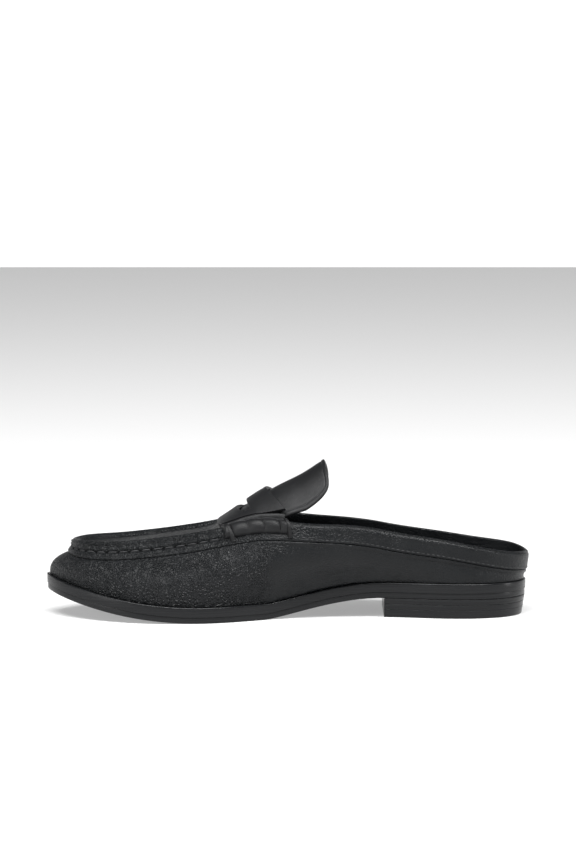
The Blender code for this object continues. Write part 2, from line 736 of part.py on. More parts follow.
def roll_seats(places):
    """Lines on the upper that a roll lies on, with the way square off the band."""
    row, outward = sections(places)
    band = band_surface(places)
    face = place(outward[:, 0] * row.drop, outward[:, 1] * row.drop, row.out)
    face /= np.linalg.norm(face, axis=1)[:, None]
    ways = [part.way for part in BAND_FACE]
    seats = {"foot": band[-1], "crest": band[-2]}
    for part in ROLL_SECTION:
        if part.seat in seats:
            continue
        above = int(np.searchsorted(ways, part.seat))
        share = (part.seat - ways[above - 1]) / (ways[above] - ways[above - 1])
        seats[part.seat] = band[above - 1] * (1.0 - share) + band[above] * share
    return seats, face


def make_roll(name, material, inner_side):
    """A wrapped roll over the end of the strap, lying on the band."""
    ends = around_at([ROLL_FRONT_AT, ROLL_BACK_AT], inner_side)
    along = np.linspace(0.0, 1.0, ROLL_STEPS)
    seats, face = roll_seats(ends[0] + (ends[1] - ends[0]) * along)
    turns = (along - ROLL_FIRST_GROOVE) / ROLL_GROOVE_PITCH
    wave = np.abs(np.sin(np.pi * turns)) ** ROLL_FULLNESS
    scallop = 1.0 - ROLL_GROOVE * (1.0 - wave)
    up = np.array([0.0, 0.0, 1.0])
    lower, upper = [], []
    for part in ROLL_SECTION:
        normal = up * (1.0 - part.lean) + face * part.lean
        normal = normal / np.linalg.norm(normal, axis=1)[:, None]
        height = ROLL_THICKNESS * part.height * scallop[:, None]
        lower.append(seats[part.seat] + normal * ROLL_SEAT)
        upper.append(seats[part.seat] + normal * (ROLL_SEAT + height))
    return sheet(name, material, np.stack(lower), np.stack(upper))


def tongue_end(across):
    """Where the tongue's top edge lies for a place across it, with its rounded corners."""
    flat = np.clip(1.0 - (across / TONGUE_CORNER) ** 2, 0.0, None)
    turn = np.clip((np.abs(across) - TONGUE_CORNER) / (1.0 - TONGUE_CORNER), 0.0, None)
    corners = TONGUE_CORNER_DEPTH * turn**TONGUE_CORNER_POWER
    return TONGUE_BACK_AT + TONGUE_TIP_SET_BACK * flat + corners


def make_tongue(material):
    """The arched tongue, tucked under the plug."""
    rows, columns = 15, 21
    along = np.linspace(0.0, 1.0, rows)[:, None]
    across = np.sin(np.linspace(-1.0, 1.0, columns) * math.pi / 2.0)[None, :]
    u = TONGUE_FRONT_AT + (tongue_end(across) - TONGUE_FRONT_AT) * along
    taper = smoothstep((TONGUE_FRONT_AT - u) / (TONGUE_FRONT_AT - STRAP_BACK_AT))
    half = TONGUE_HALF_WIDTH - TONGUE_TUCK * (1.0 - taper)
    y = across * half
    lift = -(WALL + GAP)
    outer = above_instep(u, y, lift)
    inner = above_instep(u, y, lift - TONGUE_THICKNESS)
    return sheet("tongue", material, inner, outer)


def main():
    for old in list(bpy.data.objects):
        bpy.data.objects.remove(old, do_unlink=True)
    leather = finish_material("pebbled_leather", LEATHER, 0.45)
    smooth = finish_material("smooth_leather", LEATHER, 0.50)
    lining = finish_material("lining_leather", LINING, 0.60)
    sole = finish_material("sole_rubber", RUBBER, 0.40)
    make_upper(leather)
    make_tongue(smooth)
    make_strap(smooth)
    make_roll("roll_inner", smooth, True)
    make_roll("roll_outer", smooth, False)
    make_insole(lining)
    make_sole(sole)
    make_heel(sole)


main()
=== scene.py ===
"""Loafer mule, right shoe: leather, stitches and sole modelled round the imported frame.

Toe at -X, heel at +X, inner side of the foot at -Y, floor at z = 0, lengths in metres. A plan place
is (u, y): u runs forward from the back of the sole, y outwards from the foot's middle line.
"""

import logging
import math
from dataclasses import dataclass
from enum import Enum
from functools import cached_property
from typing import Callable, NamedTuple

import bmesh
import bpy
import numpy as np
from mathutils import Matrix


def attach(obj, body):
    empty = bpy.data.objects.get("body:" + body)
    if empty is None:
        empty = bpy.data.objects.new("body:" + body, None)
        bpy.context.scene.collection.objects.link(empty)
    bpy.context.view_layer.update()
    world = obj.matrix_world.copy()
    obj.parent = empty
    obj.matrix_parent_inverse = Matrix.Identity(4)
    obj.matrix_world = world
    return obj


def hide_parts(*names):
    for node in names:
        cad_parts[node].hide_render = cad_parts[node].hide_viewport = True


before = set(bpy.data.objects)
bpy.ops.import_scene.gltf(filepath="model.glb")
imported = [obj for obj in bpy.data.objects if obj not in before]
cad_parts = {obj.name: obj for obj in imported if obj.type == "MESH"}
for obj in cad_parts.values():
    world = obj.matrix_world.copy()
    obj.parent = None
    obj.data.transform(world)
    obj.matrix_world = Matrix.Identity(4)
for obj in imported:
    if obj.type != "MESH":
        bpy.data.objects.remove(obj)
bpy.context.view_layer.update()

LOG = logging.getLogger("loafer_mule")
Array = np.ndarray
Height = Callable[[Array], Array]
Levels = list[tuple[float, Height]]
UP = np.array([0.0, 0.0, 1.0])
MM = 0.001
LENGTH = 0.264


class Side(Enum):
    """The two sides of the foot, with the sign of y there."""

    INNER = -1.0
    OUTER = 1.0


class Section(NamedTuple):
    """One section round the shoe.

    Shares of the length: sole_u, rim_u. Shares of the ball width: sole_y, rim_y, belly. Share of
    the throat's rise: rise. Shares of the band's height, from the rim to the band's lower lip: drop,
    out. Degrees from level just below the lip: lean. Share of the feather inset: inset. From 0, no
    moc seam, to 1: moc.
    """

    sole_u: float
    sole_y: float
    rim_u: float
    rim_y: float
    rise: float
    drop: float
    out: float
    lean: float
    belly: float
    inset: float
    moc: float


BACK = Section(0.0, 0.0, -0.0032, 0.0, 0.324, 1.00, -0.10, 88, -0.002, 0.40, 0.0)
INNER_SIDE = (
    Section(0.011, 0.126, 0.007, 0.117, 0.341, 1.00, -0.09, 88, 0.002, 0.42, 0.0),
    Section(0.038, 0.222, 0.033, 0.209, 0.361, 1.00, -0.05, 88, 0.006, 0.45, 0.0),
    Section(0.095, 0.297, 0.095, 0.281, 0.427, 0.99, 0.00, 88, 0.010, 0.50, 0.0),
    Section(0.170, 0.305, 0.170, 0.299, 0.516, 1.00, 0.06, 88, 0.016, 0.50, 0.0),
    Section(0.265, 0.251, 0.265, 0.297, 0.604, 1.02, 0.12, 88, 0.044, 0.45, 0.0),
    Section(0.379, 0.229, 0.379, 0.322, 0.751, 1.01, 0.22, 84, 0.075, 0.45, 0.0),
    Section(0.462, 0.253, 0.458, 0.336, 0.867, 0.98, 0.36, 76, 0.080, 0.55, 0.0),
    Section(0.549, 0.344, 0.542, 0.297, 1.000, 1.10, 0.68, 62, 0.055, 0.80, 0.0),
    Section(0.625, 0.453, 0.610, 0.277, 0.939, 0.99, 0.81, 52, 0.032, 0.95, 0.3),
    Section(0.720, 0.505, 0.693, 0.256, 0.834, 0.98, 0.93, 45, 0.026, 1.00, 1.0),
    Section(0.807, 0.480, 0.777, 0.248, 0.733, 1.00, 0.91, 42, 0.024, 1.00, 1.0),
    Section(0.883, 0.391, 0.848, 0.233, 0.635, 0.97, 0.83, 38, 0.022, 0.95, 1.0),
    Section(0.939, 0.280, 0.900, 0.192, 0.571, 0.93, 0.68, 30, 0.018, 0.85, 1.0),
    Section(0.975, 0.173, 0.925, 0.119, 0.532, 0.85, 0.56, 24, 0.014, 0.75, 1.0),
    Section(0.9936, 0.080, 0.935, 0.055, 0.512, 0.76, 0.48, 21, 0.011, 0.70, 1.0),
)
TOE = Section(1.0, -0.012, 0.9375, -0.012, 0.507, 0.71, 0.45, 20, 0.010, 0.70, 1.0)
OUTER_SIDE = (
    Section(0.011, 0.126, 0.007, 0.117, 0.352, 1.00, -0.09, 88, 0.002, 0.42, 0.0),
    Section(0.038, 0.222, 0.033, 0.209, 0.381, 1.00, -0.05, 88, 0.006, 0.45, 0.0),
    Section(0.095, 0.299, 0.095, 0.288, 0.416, 0.99, 0.00, 88, 0.010, 0.50, 0.0),
    Section(0.170, 0.327, 0.170, 0.316, 0.477, 1.00, 0.06, 88, 0.014, 0.50, 0.0),
    Section(0.265, 0.335, 0.265, 0.333, 0.554, 1.02, 0.12, 88, 0.018, 0.50, 0.0),
    Section(0.379, 0.363, 0.379, 0.352, 0.689, 1.01, 0.22, 86, 0.020, 0.55, 0.0),
    Section(0.462, 0.400, 0.458, 0.354, 0.821, 0.98, 0.36, 78, 0.022, 0.65, 0.0),
    Section(0.549, 0.451, 0.542, 0.313, 0.961, 1.08, 0.68, 64, 0.024, 0.80, 0.0),
    Section(0.625, 0.488, 0.610, 0.290, 0.908, 0.99, 0.81, 54, 0.026, 0.95, 0.3),
    Section(0.720, 0.495, 0.693, 0.266, 0.810, 0.98, 0.93, 46, 0.026, 1.00, 1.0),
    Section(0.807, 0.433, 0.777, 0.248, 0.716, 1.00, 0.91, 42, 0.024, 1.00, 1.0),
    Section(0.883, 0.338, 0.848, 0.224, 0.624, 0.97, 0.83, 38, 0.022, 0.95, 1.0),
    Section(0.939, 0.231, 0.900, 0.174, 0.560, 0.93, 0.68, 30, 0.018, 0.85, 1.0),
    Section(0.975, 0.136, 0.925, 0.099, 0.527, 0.85, 0.56, 24, 0.014, 0.75, 1.0),
    Section(0.9936, 0.060, 0.935, 0.037, 0.510, 0.76, 0.48, 21, 0.011, 0.70, 1.0),
)


class RidgeRow(NamedTuple):
    """The instep's middle line: share of the length, and of the throat's rise above the sole."""

    along: float
    rise: float


RIDGE = (
    RidgeRow(0.409, 1.617),
    RidgeRow(0.4545, 1.501),
    RidgeRow(0.500, 1.392),
    RidgeRow(0.543, 1.272),
    RidgeRow(0.584, 1.118),
    RidgeRow(0.605, 1.028),
    RidgeRow(0.625, 0.945),
    RidgeRow(0.644, 0.867),
    RidgeRow(0.674, 0.810),
    RidgeRow(0.720, 0.768),
    RidgeRow(0.803, 0.663),
    RidgeRow(0.867, 0.569),
    RidgeRow(0.9375, 0.470),
)


class RollRow(NamedTuple):
    """A roll's section, from its inner edge over the crest to its lower edge.

    Way up the band that it lies on, above 1 inwards; lean from upright to square off the band;
    share of the full height; share of the scallops that it takes part in.
    """

    way: float
    lean: float
    height: float
    scallop: float


ROLL_SECTION = (
    RollRow(1.30, 0.0, 0.10, 0.0),
    RollRow(1.28, 0.0, 0.62, 0.0),
    RollRow(1.20, 0.0, 0.74, 0.0),
    RollRow(1.10, 0.2, 0.72, 0.0),
    RollRow(1.04, 0.5, 0.56, 0.3),
    RollRow(1.00, 0.7, 0.50, 0.8),
    RollRow(0.94, 0.9, 0.66, 1.0),
    RollRow(0.84, 1.0, 0.92, 1.0),
    RollRow(0.70, 1.0, 1.02, 1.0),
    RollRow(0.56, 1.0, 0.98, 1.0),
    RollRow(0.44, 1.0, 0.80, 1.0),
    RollRow(0.36, 1.0, 0.50, 1.0),
    RollRow(0.33, 1.0, 0.10, 1.0),
)


class CollarRow(NamedTuple):
    """The collar band's outer face: way up it, and its height off the plain band in millimetres."""

    way: float
    height: float


COLLAR_FACE = (
    CollarRow(0.0, 0.0),
    CollarRow(0.008, 0.55),
    CollarRow(0.02, 0.80),
    CollarRow(0.045, 0.95),
    CollarRow(0.10, 1.00),
    CollarRow(0.50, 1.06),
    CollarRow(0.70, 1.16),
    CollarRow(0.80, 1.12),
    CollarRow(0.86, 0.98),
    CollarRow(0.90, 0.78),
    CollarRow(0.93, 0.50),
    CollarRow(0.945, 0.40),
    CollarRow(0.96, 0.48),
    CollarRow(0.975, 0.58),
    CollarRow(1.0, 0.35),
)


class Crease(NamedTuple):
    """A soft trough in the wall, from one end to the other.

    Ends: u in metres and way up the wall from 0 to 1. Depth, negative for a ridge, and width in
    metres.
    """

    side: Side
    from_u: float
    from_way: float
    to_u: float
    to_way: float
    depth: float
    width: float


CREASES = (
    Crease(Side.INNER, 0.1600, 0.98, 0.1540, 0.60, 0.00030, 0.0022),
    Crease(Side.INNER, 0.1520, 0.96, 0.1440, 0.40, 0.00025, 0.0030),
    Crease(Side.INNER, 0.1760, 0.90, 0.1660, 0.25, -0.00030, 0.0060),
    Crease(Side.INNER, 0.1860, 0.95, 0.1800, 0.35, 0.00025, 0.0045),
    Crease(Side.OUTER, 0.1600, 0.98, 0.1560, 0.55, 0.00030, 0.0025),
    Crease(Side.OUTER, 0.1740, 0.90, 0.1690, 0.25, -0.00025, 0.0060),
    Crease(Side.OUTER, 0.1850, 0.95, 0.1810, 0.35, 0.00025, 0.0045),
)


def smoothstep(t: Array) -> Array:
    """Rise from 0 to 1 with level ends."""
    t = np.clip(t, 0.0, 1.0)
    return t * t * (3.0 - 2.0 * t)


def bump(offset: Array, width: float) -> Array:
    """A soft hump of height 1 at offset 0."""
    return np.exp(-((offset / width) ** 2))


def place(u: Array, y: Array, z: Array) -> Array:
    """Points (u, y, z) stacked on the last axis."""
    return np.stack(np.broadcast_arrays(u, y, z), axis=-1)


def unit(vectors: Array) -> Array:
    """Vectors of length 1."""
    return vectors / np.linalg.norm(vectors, axis=-1, keepdims=True)


def run_length(line: Array) -> Array:
    """Distance along a line of points, at each of them."""
    steps = np.linalg.norm(np.diff(line, axis=0), axis=1)
    return np.concatenate([[0.0], np.cumsum(steps)])


def spline(knots: Array, values: Array, at: Array, closed: bool = False) -> Array:
    """Smooth curve through values at knots.

    Args:
        knots: rising places, with one more than values where the curve is closed.
        values: one row for each knot.
        at: places to read.
        closed: whether the curve joins its own start.

    Returns:
        One row for each place in at.
    """
    count = len(values)
    step = np.diff(knots)
    system, right = np.eye(count), np.zeros(values.shape)
    for i in range(0 if closed else 1, count if closed else count - 1):
        before, after = (i - 1) % count, (i + 1) % count
        system[i] = 0.0
        system[i, before] += step[i - 1]
        system[i, i] += 2.0 * (step[i - 1] + step[i])
        system[i, after] += step[i]
        rise = (values[after] - values[i]) / step[i]
        right[i] = 6.0 * (rise - (values[i] - values[before]) / step[i - 1])
    bends = np.linalg.solve(system, right)
    if closed:
        values, bends = np.vstack([values, values[:1]]), np.vstack([bends, bends[:1]])
        at = np.mod(at, knots[-1])
    i = np.clip(np.searchsorted(knots, at, "right") - 1, 0, len(knots) - 2)
    width = (knots[i + 1] - knots[i])[:, None]
    a = (knots[i + 1] - at)[:, None] / width
    b = 1.0 - a
    curve = (a**3 - a) * bends[i] + (b**3 - b) * bends[i + 1]
    return a * values[i] + b * values[i + 1] + curve * width**2 / 6.0


def fill_patch(rear: Array, inner: Array, front: Array, outer: Array) -> Array:
    """Points across a patch with four edges.

    Args:
        rear, front: edges that run outwards.
        inner, outer: edges that run forwards.

    Returns:
        Rows that run forwards, columns outwards.
    """
    a = np.linspace(0.0, 1.0, len(inner))[:, None, None]
    b = np.linspace(0.0, 1.0, len(rear))[None, :, None]
    sides = (1 - b) * inner[:, None] + b * outer[:, None]
    ends = (1 - a) * rear[None] + a * front[None]
    corners = (1 - a) * ((1 - b) * rear[0] + b * rear[-1])
    corners = corners + a * ((1 - b) * front[0] + b * front[-1])
    return sides + ends - corners


@dataclass(frozen=True)
class Last:
    """The shoe's form as smooth functions of a place round it, or of u and y."""

    length: float = LENGTH
    ball_width: float = 0.091
    back_overhang: float = 0.0018
    sole_thickness: float = 0.0087
    heel_height: float = 0.0107
    heel_length: float = 0.2973 * LENGTH
    toe_spring: float = 0.0138
    flat_from: float = 0.5492 * LENGTH
    flat_to: float = 0.6629 * LENGTH
    arch_skew: float = 0.8
    throat_rise: float = 0.0457
    band_height: float = 0.0096
    rim_sink: float = 0.0018
    top_edge: float = 0.0026
    collar_edge: float = 0.0019
    feather_inset: float = 0.0024
    throat_at: float = 0.5568 * LENGTH
    toe_corner_at: float = 0.8864 * LENGTH
    throat_flare: float = 0.13
    tongue_back_at: float = 0.4152 * LENGTH
    gap: float = 0.0003
    belly_height: float = 0.5
    lean_reach: float = 0.45
    slope_step: float = 0.0005
    dense: int = 2400

    def outsole_bottom(self, u: Array) -> Array:
        """Height of the walking surface: heel seat, arch, flat tread, toe spring.

        Args:
            u: places along the sole.

        Returns:
            A height for each place.
        """
        u = np.asarray(u, float)
        back = (self.flat_from - u) / (self.flat_from - self.heel_length)
        arch = self.heel_height * smoothstep(np.clip(back, 0.0, 1.0) ** self.arch_skew)
        front = np.clip((u - self.flat_to) / (self.length - self.flat_to), 0.0, None)
        return arch + self.toe_spring * front**2

    def sole_top(self, u: Array) -> Array:
        """Height of the surface that the upper stands on."""
        return self.outsole_bottom(u) + self.sole_thickness

    @cached_property
    def table(self) -> Array:
        """All sections in metres, from the back along the inner side to the toe and back."""
        table = np.array([BACK, *INNER_SIDE, TOE, *OUTER_SIDE[::-1]], float)
        side = np.ones(len(table))
        side[1 : len(INNER_SIDE) + 1] = Side.INNER.value
        table[:, [0, 2]] *= self.length
        table[:, [1, 3, 8]] *= self.ball_width
        table[:, 1] *= side
        table[:, 3] *= side
        table[:, 4] *= self.throat_rise
        table[:, [5, 6]] *= self.band_height
        table[:, 7] = np.radians(table[:, 7])
        table[:, 9] *= self.feather_inset
        return table

    @cached_property
    def knots(self) -> Array:
        """Place of each section round the sole's edge, and the whole way round."""
        return run_length(np.vstack([self.table[:, :2], self.table[:1, :2]]))

    def sections(self, around: Array) -> tuple[Section, Array]:
        """Sections at places round the shoe.

        Args:
            around: places, in metres along the sole's edge from the back.

        Returns:
            The sections' columns, and the outline's outward direction in plan.
        """
        around = np.asarray(around, float)
        values = spline(self.knots, self.table, around, closed=True)
        nudge = self.knots[-1] / self.dense
        ahead = spline(self.knots, self.table[:, :2], around + nudge, closed=True)
        behind = spline(self.knots, self.table[:, :2], around - nudge, closed=True)
        tangent = unit(ahead - behind)
        return Section(*values.T), np.stack([tangent[:, 1], -tangent[:, 0]], axis=1)

    def around_at(self, u: Array, side: Side, of_rim: bool = True) -> Array:
        """Place round the shoe where the rim, or the sole's edge, reaches u on one side."""
        start = 0.0 if side is Side.INNER else self.knots[-1]
        places = np.linspace(start, self.knots[len(INNER_SIDE) + 1], self.dense)
        row, _ = self.sections(places)
        return np.interp(u, row.rim_u if of_rim else row.sole_u, places)

    def rim(self, around: Array) -> tuple[Array, Array]:
        """Top of the rim or collar.

        Args:
            around: places round the shoe.

        Returns:
            The crest, and the inner foot of that crest.
        """
        row, outward = self.sections(around)
        crest = place(row.rim_u, row.rim_y, self.sole_top(row.rim_u) + row.rise)
        foot = crest.copy()
        edge = self.collar_edge + (self.top_edge - self.collar_edge) * row.moc
        foot[:, :2] -= outward * edge[:, None]
        foot[:, 2] -= self.rim_sink * row.moc
        return crest, foot

    def band_frame(self, around: Array) -> tuple[Array, Array, Array]:
        """The plain band.

        Args:
            around: places round the shoe.

        Returns:
            Its lower lip, its crest, and the direction square off it.
        """
        row, outward = self.sections(around)
        crest, _ = self.rim(around)
        out = place(outward[:, 0], outward[:, 1], 0.0)
        lip = crest + out * row.out[:, None] - UP * row.drop[:, None]
        return lip, crest, unit(out * row.drop[:, None] + UP * row.out[:, None])

    def wall(self, around: Array, ways: Array) -> Array:
        """The plain wall from the sole to the band's lower lip.

        Args:
            around: places round the shoe.
            ways: ways up the wall, from 0 to 1.

        Returns:
            Points, a row for each way up.
        """
        row, outward = self.sections(around)
        out = place(outward[:, 0], outward[:, 1], 0.0)
        base = place(row.sole_u, row.sole_y, 0.0) - out * row.inset[:, None]
        base[:, 2] = self.sole_top(base[:, 0]) + self.gap
        lip, _, _ = self.band_frame(around)
        height = (lip[:, 2] - base[:, 2])[:, None]
        reach = np.linalg.norm(lip - base, axis=1)[:, None] * self.lean_reach
        lean = row.lean[:, None]
        first = base + out * row.belly[:, None] + UP * height * self.belly_height
        second = lip + (out * np.cos(lean) - UP * np.sin(lean)) * reach
        t = np.asarray(ways, float)[:, None, None]
        s = 1.0 - t
        return s**3 * base + 3 * s * s * t * first + 3 * s * t * t * second + t**3 * lip

    def foot_line(self, side: Side) -> Array:
        """The plug's edge on one side by rising u, from throat to toe corner."""
        ends = self.around_at(np.array([self.throat_at, self.toe_corner_at]), side)
        return self.rim(np.linspace(ends[0], ends[1], self.dense // 4))[1]

    @cached_property
    def foot_lines(self) -> dict[Side, Array]:
        """The plug's edge on both sides."""
        return {side: self.foot_line(side) for side in Side}

    @cached_property
    def ridge_fine(self) -> tuple[Array, Array]:
        """The instep's middle line at close places: u, and rise above the sole."""
        rows = np.array(RIDGE, float)
        u = np.linspace(rows[0, 0], rows[-1, 0], self.dense) * self.length
        rise = spline(rows[:, 0] * self.length, rows[:, 1:] * self.throat_rise, u)
        return u, rise[:, 0]

    def ridge_height(self, u: Array) -> Array:
        """Height of the instep's middle line."""
        places, rise = self.ridge_fine
        return self.sole_top(u) + np.interp(u, places, rise)

    def side_edge(self, u: Array, side: Side) -> tuple[Array, Array]:
        """The instep surface's edge on one side.

        Args:
            u: places along the shoe.
            side: the side of the foot.

        Returns:
            The edge's half width and its height.
        """
        line = self.foot_lines[side]
        half = np.interp(u, line[:, 0], np.abs(line[:, 1]))
        behind = smoothstep(2.0 * (self.throat_at - u) / (self.throat_at - self.tongue_back_at))
        half = half * (1.0 + self.throat_flare * behind)
        rise = line[0, 2] - self.sole_top(line[0, 0])
        on_plug = np.interp(u, line[:, 0], line[:, 2])
        return half, np.where(u < line[0, 0], self.sole_top(u) + rise, on_plug)

    def instep(self, u: Array, y: Array) -> Array:
        """Height of the instep surface: plug, and its run under the strap and the tongue.

        Args:
            u, y: places in plan.

        Returns:
            A height for each place.
        """
        u, y = np.broadcast_arrays(np.asarray(u, float), np.asarray(y, float))
        half_in, edge_in = self.side_edge(u, Side.INNER)
        half_out, edge_out = self.side_edge(u, Side.OUTER)
        half = np.where(y < 0.0, half_in, half_out)
        edge = np.where(y < 0.0, edge_in, edge_out)
        ridge = self.ridge_height(u)
        return ridge - (ridge - edge) * (y / half) ** 2

    def above_instep(self, u: Array, y: Array, lift: Array) -> Array:
        """Points off the instep surface.

        Args:
            u, y: places in plan.
            lift: distance along the surface's normal.

        Returns:
            A point for each place.
        """
        nudge = self.slope_step
        slope_u = (self.instep(u + nudge, y) - self.instep(u - nudge, y)) / (2.0 * nudge)
        slope_y = (self.instep(u, y + nudge) - self.instep(u, y - nudge)) / (2.0 * nudge)
        normal = unit(place(-slope_u, -slope_y, 1.0))
        return place(u, y, self.instep(u, y)) + normal * np.asarray(lift)[..., None]

    @cached_property
    def middle(self) -> tuple[float, float]:
        """The middle of the shoe's length and of its width."""
        row, _ = self.sections(np.linspace(0.0, self.knots[-1], self.dense))
        return (self.length - self.back_overhang) / 2.0, (row.sole_y.min() + row.sole_y.max()) / 2.0

    def to_world(self, points: Array) -> Array:
        """Places (u, y, z) in the part's own frame."""
        half_length, side_shift = self.middle
        return place(half_length - points[..., 0], points[..., 1] - side_shift, points[..., 2])


class Surface:
    """Collects grids of points and the faces between them for one closed mesh."""

    def __init__(self, last: Last) -> None:
        """Starts empty, for places of one last."""
        self.last = last
        self.points: list[Array] = []
        self.faces: list[list[int]] = []
        self.count = 0

    def add(self, points: Array) -> Array:
        """Takes in new points.

        Args:
            points: places (u, y, z) in any layout.

        Returns:
            Their numbers in the same layout.
        """
        flat = points.reshape(-1, 3)
        self.points.append(self.last.to_world(flat))
        numbers = np.arange(self.count, self.count + len(flat)).reshape(points.shape[:-1])
        self.count += len(flat)
        return numbers

    def face(self, corners: list[int]) -> None:
        """One face, without corners that repeat."""
        kept = list(dict.fromkeys(int(corner) for corner in corners))
        if len(kept) > 2:
            self.faces.append(kept)

    def grid(self, numbers: Array, closed: bool = False, mask: Array | None = None) -> None:
        """Faces between neighbours of a grid.

        Args:
            numbers: the grid's point numbers.
            closed: whether the last column joins the first.
            mask: which faces to make; all without it.
        """
        if closed:
            numbers = np.concatenate([numbers, numbers[:, :1]], axis=1)
        quads = np.stack(
            [numbers[:-1, :-1], numbers[:-1, 1:], numbers[1:, 1:], numbers[1:, :-1]], axis=-1
        )
        if mask is not None:
            quads = quads[mask]
        for quad in quads.reshape(-1, 4).tolist():
            if len(set(quad)) == 4:
                self.faces.append(quad)
            else:
                self.face(quad)

    def bridge(self, first: Array, second: Array) -> None:
        """Faces that close the way between two lines of points."""
        self.grid(np.stack([first, second]))

    def finish(self, name: str, sharp: float = 180.0) -> bpy.types.Object:
        """The object, with its faces pointing out.

        Args:
            name: the piece's name.
            sharp: edges that turn by more degrees stay sharp.

        Returns:
            The new object, linked to the scene.
        """
        data = bpy.data.meshes.new(name)
        data.from_pydata(np.concatenate(self.points).tolist(), [], self.faces)
        tidy_mesh(data)
        data.shade_smooth()
        data.set_sharp_from_angle(angle=math.radians(sharp))
        made = bpy.data.objects.new(name, data)
        bpy.context.scene.collection.objects.link(made)
        return made


def tidy_mesh(data: bpy.types.Mesh) -> None:
    """Drops loose points and turns the faces outwards.

    Args:
        data: the mesh, which is changed in place.
    """
    work = bmesh.new()
    work.from_mesh(data)
    loose = [vert for vert in work.verts if not vert.link_faces]
    bmesh.ops.delete(work, geom=loose, context="VERTS")
    bmesh.ops.recalc_face_normals(work, faces=work.faces)
    if work.calc_volume(signed=True) < 0.0:
        bmesh.ops.reverse_faces(work, faces=work.faces)
    work.to_mesh(data)
    work.free()


def thick_sheet(
    surface: Surface, lower: Array, upper: Array, mask: Array | None = None
) -> None:
    """A closed sheet between two grids of points.

    Args:
        surface: where the faces go.
        lower, upper: the two grids.
        mask: which cells to keep; the rest is cut away.
    """
    low, high = surface.add(lower), surface.add(upper)
    rows, columns = low.shape
    if mask is None:
        mask = np.ones((rows - 1, columns - 1), bool)
    surface.grid(low, mask=mask)
    surface.grid(high, mask=mask)
    padded = np.pad(mask, 1)
    for i, j in np.argwhere(padded[:-1, 1:-1] != padded[1:, 1:-1]):
        surface.face([low[i, j], low[i, j + 1], high[i, j + 1], high[i, j]])
    for i, j in np.argwhere(padded[1:-1, :-1] != padded[1:-1, 1:]):
        surface.face([low[i, j], low[i + 1, j], high[i + 1, j], high[i, j]])


def tube(surface: Surface, line: Array, radii: Array, sides: int = 8) -> None:
    """A round tube along a line, closed at both ends.

    Args:
        surface: where the faces go.
        line: the middle line's points.
        radii: the radius at each point.
        sides: faces round it.
    """
    tangent = unit(np.gradient(line, axis=0))
    across = unit(np.cross(tangent, UP))
    over = np.cross(across, tangent)
    turn = np.linspace(0.0, 2.0 * math.pi, sides, endpoint=False)
    ring = across[:, None] * np.cos(turn)[None, :, None] + over[:, None] * np.sin(turn)[None, :, None]
    numbers = surface.add(line[:, None] + ring * radii[:, None, None])
    surface.grid(numbers, closed=True)
    surface.face(list(numbers[0]))
    surface.face(list(numbers[-1][::-1]))


def tapered(radius: float, along: Array, cut: float, power: int) -> Array:
    """Radii of a dash that narrows by cut to its ends, where along is -1 and 1."""
    return radius * np.sqrt(np.clip(1.0 - cut * along**power, 0.02, None))


def from_line(points: Array, line: Array) -> Array:
    """Distance in plan of each grid point from the nearest point of a line."""
    return np.stack([np.linalg.norm(row[:, None] - line, axis=-1).min(axis=-1) for row in points])


def edge_fall(off: Array, radius: float) -> Array:
    """How far a rounded edge has fallen at a distance from the edge."""
    inside = np.clip(1.0 - off / radius, 0.0, 1.0)
    return radius * (1.0 - np.sqrt(1.0 - inside**2))


@dataclass
class MocSeam:
    """The hand-sewn seam round the plug: where its holes are, and its thread."""

    last: Last
    pitch: float = 0.0063
    way: float = 0.41
    hole_at: float = 0.2217
    front_at: float = 0.1655
    thread: float = 0.00040

    @cached_property
    def run(self) -> tuple[Array, Array]:
        """Places along the seam, and the distance sewn at each."""
        ends = [self.last.around_at(self.front_at, side) for side in Side]
        places = np.linspace(ends[0], ends[1], self.last.dense)
        lip, crest, _ = self.last.band_frame(places)
        return places, run_length(lip + (crest - lip) * self.way)

    @cached_property
    def first(self) -> float:
        """Distance sewn at a hole whose place is known."""
        places, sewn = self.run
        return float(np.interp(self.last.around_at(self.hole_at, Side.INNER), places, sewn))

    def from_hole(self, around: Array) -> Array:
        """Distance from the nearest hole, along the seam."""
        places, sewn = self.run
        turns = (np.interp(around, places, sewn) - self.first) / self.pitch
        return (turns - np.round(turns)) * self.pitch

    def holes(self) -> Array:
        """Distance sewn at every hole."""
        _, sewn = self.run
        start = self.first % self.pitch
        return np.arange(start, sewn[-1], self.pitch)

    def on_seam(self, sewn_at: Array, height: Array) -> Array:
        """Points over the seam at distances sewn and heights off the plain band."""
        places, sewn = self.run
        lip, crest, face = self.last.band_frame(np.interp(sewn_at, sewn, places))
        return lip + (crest - lip) * self.way + face * np.asarray(height)[:, None]


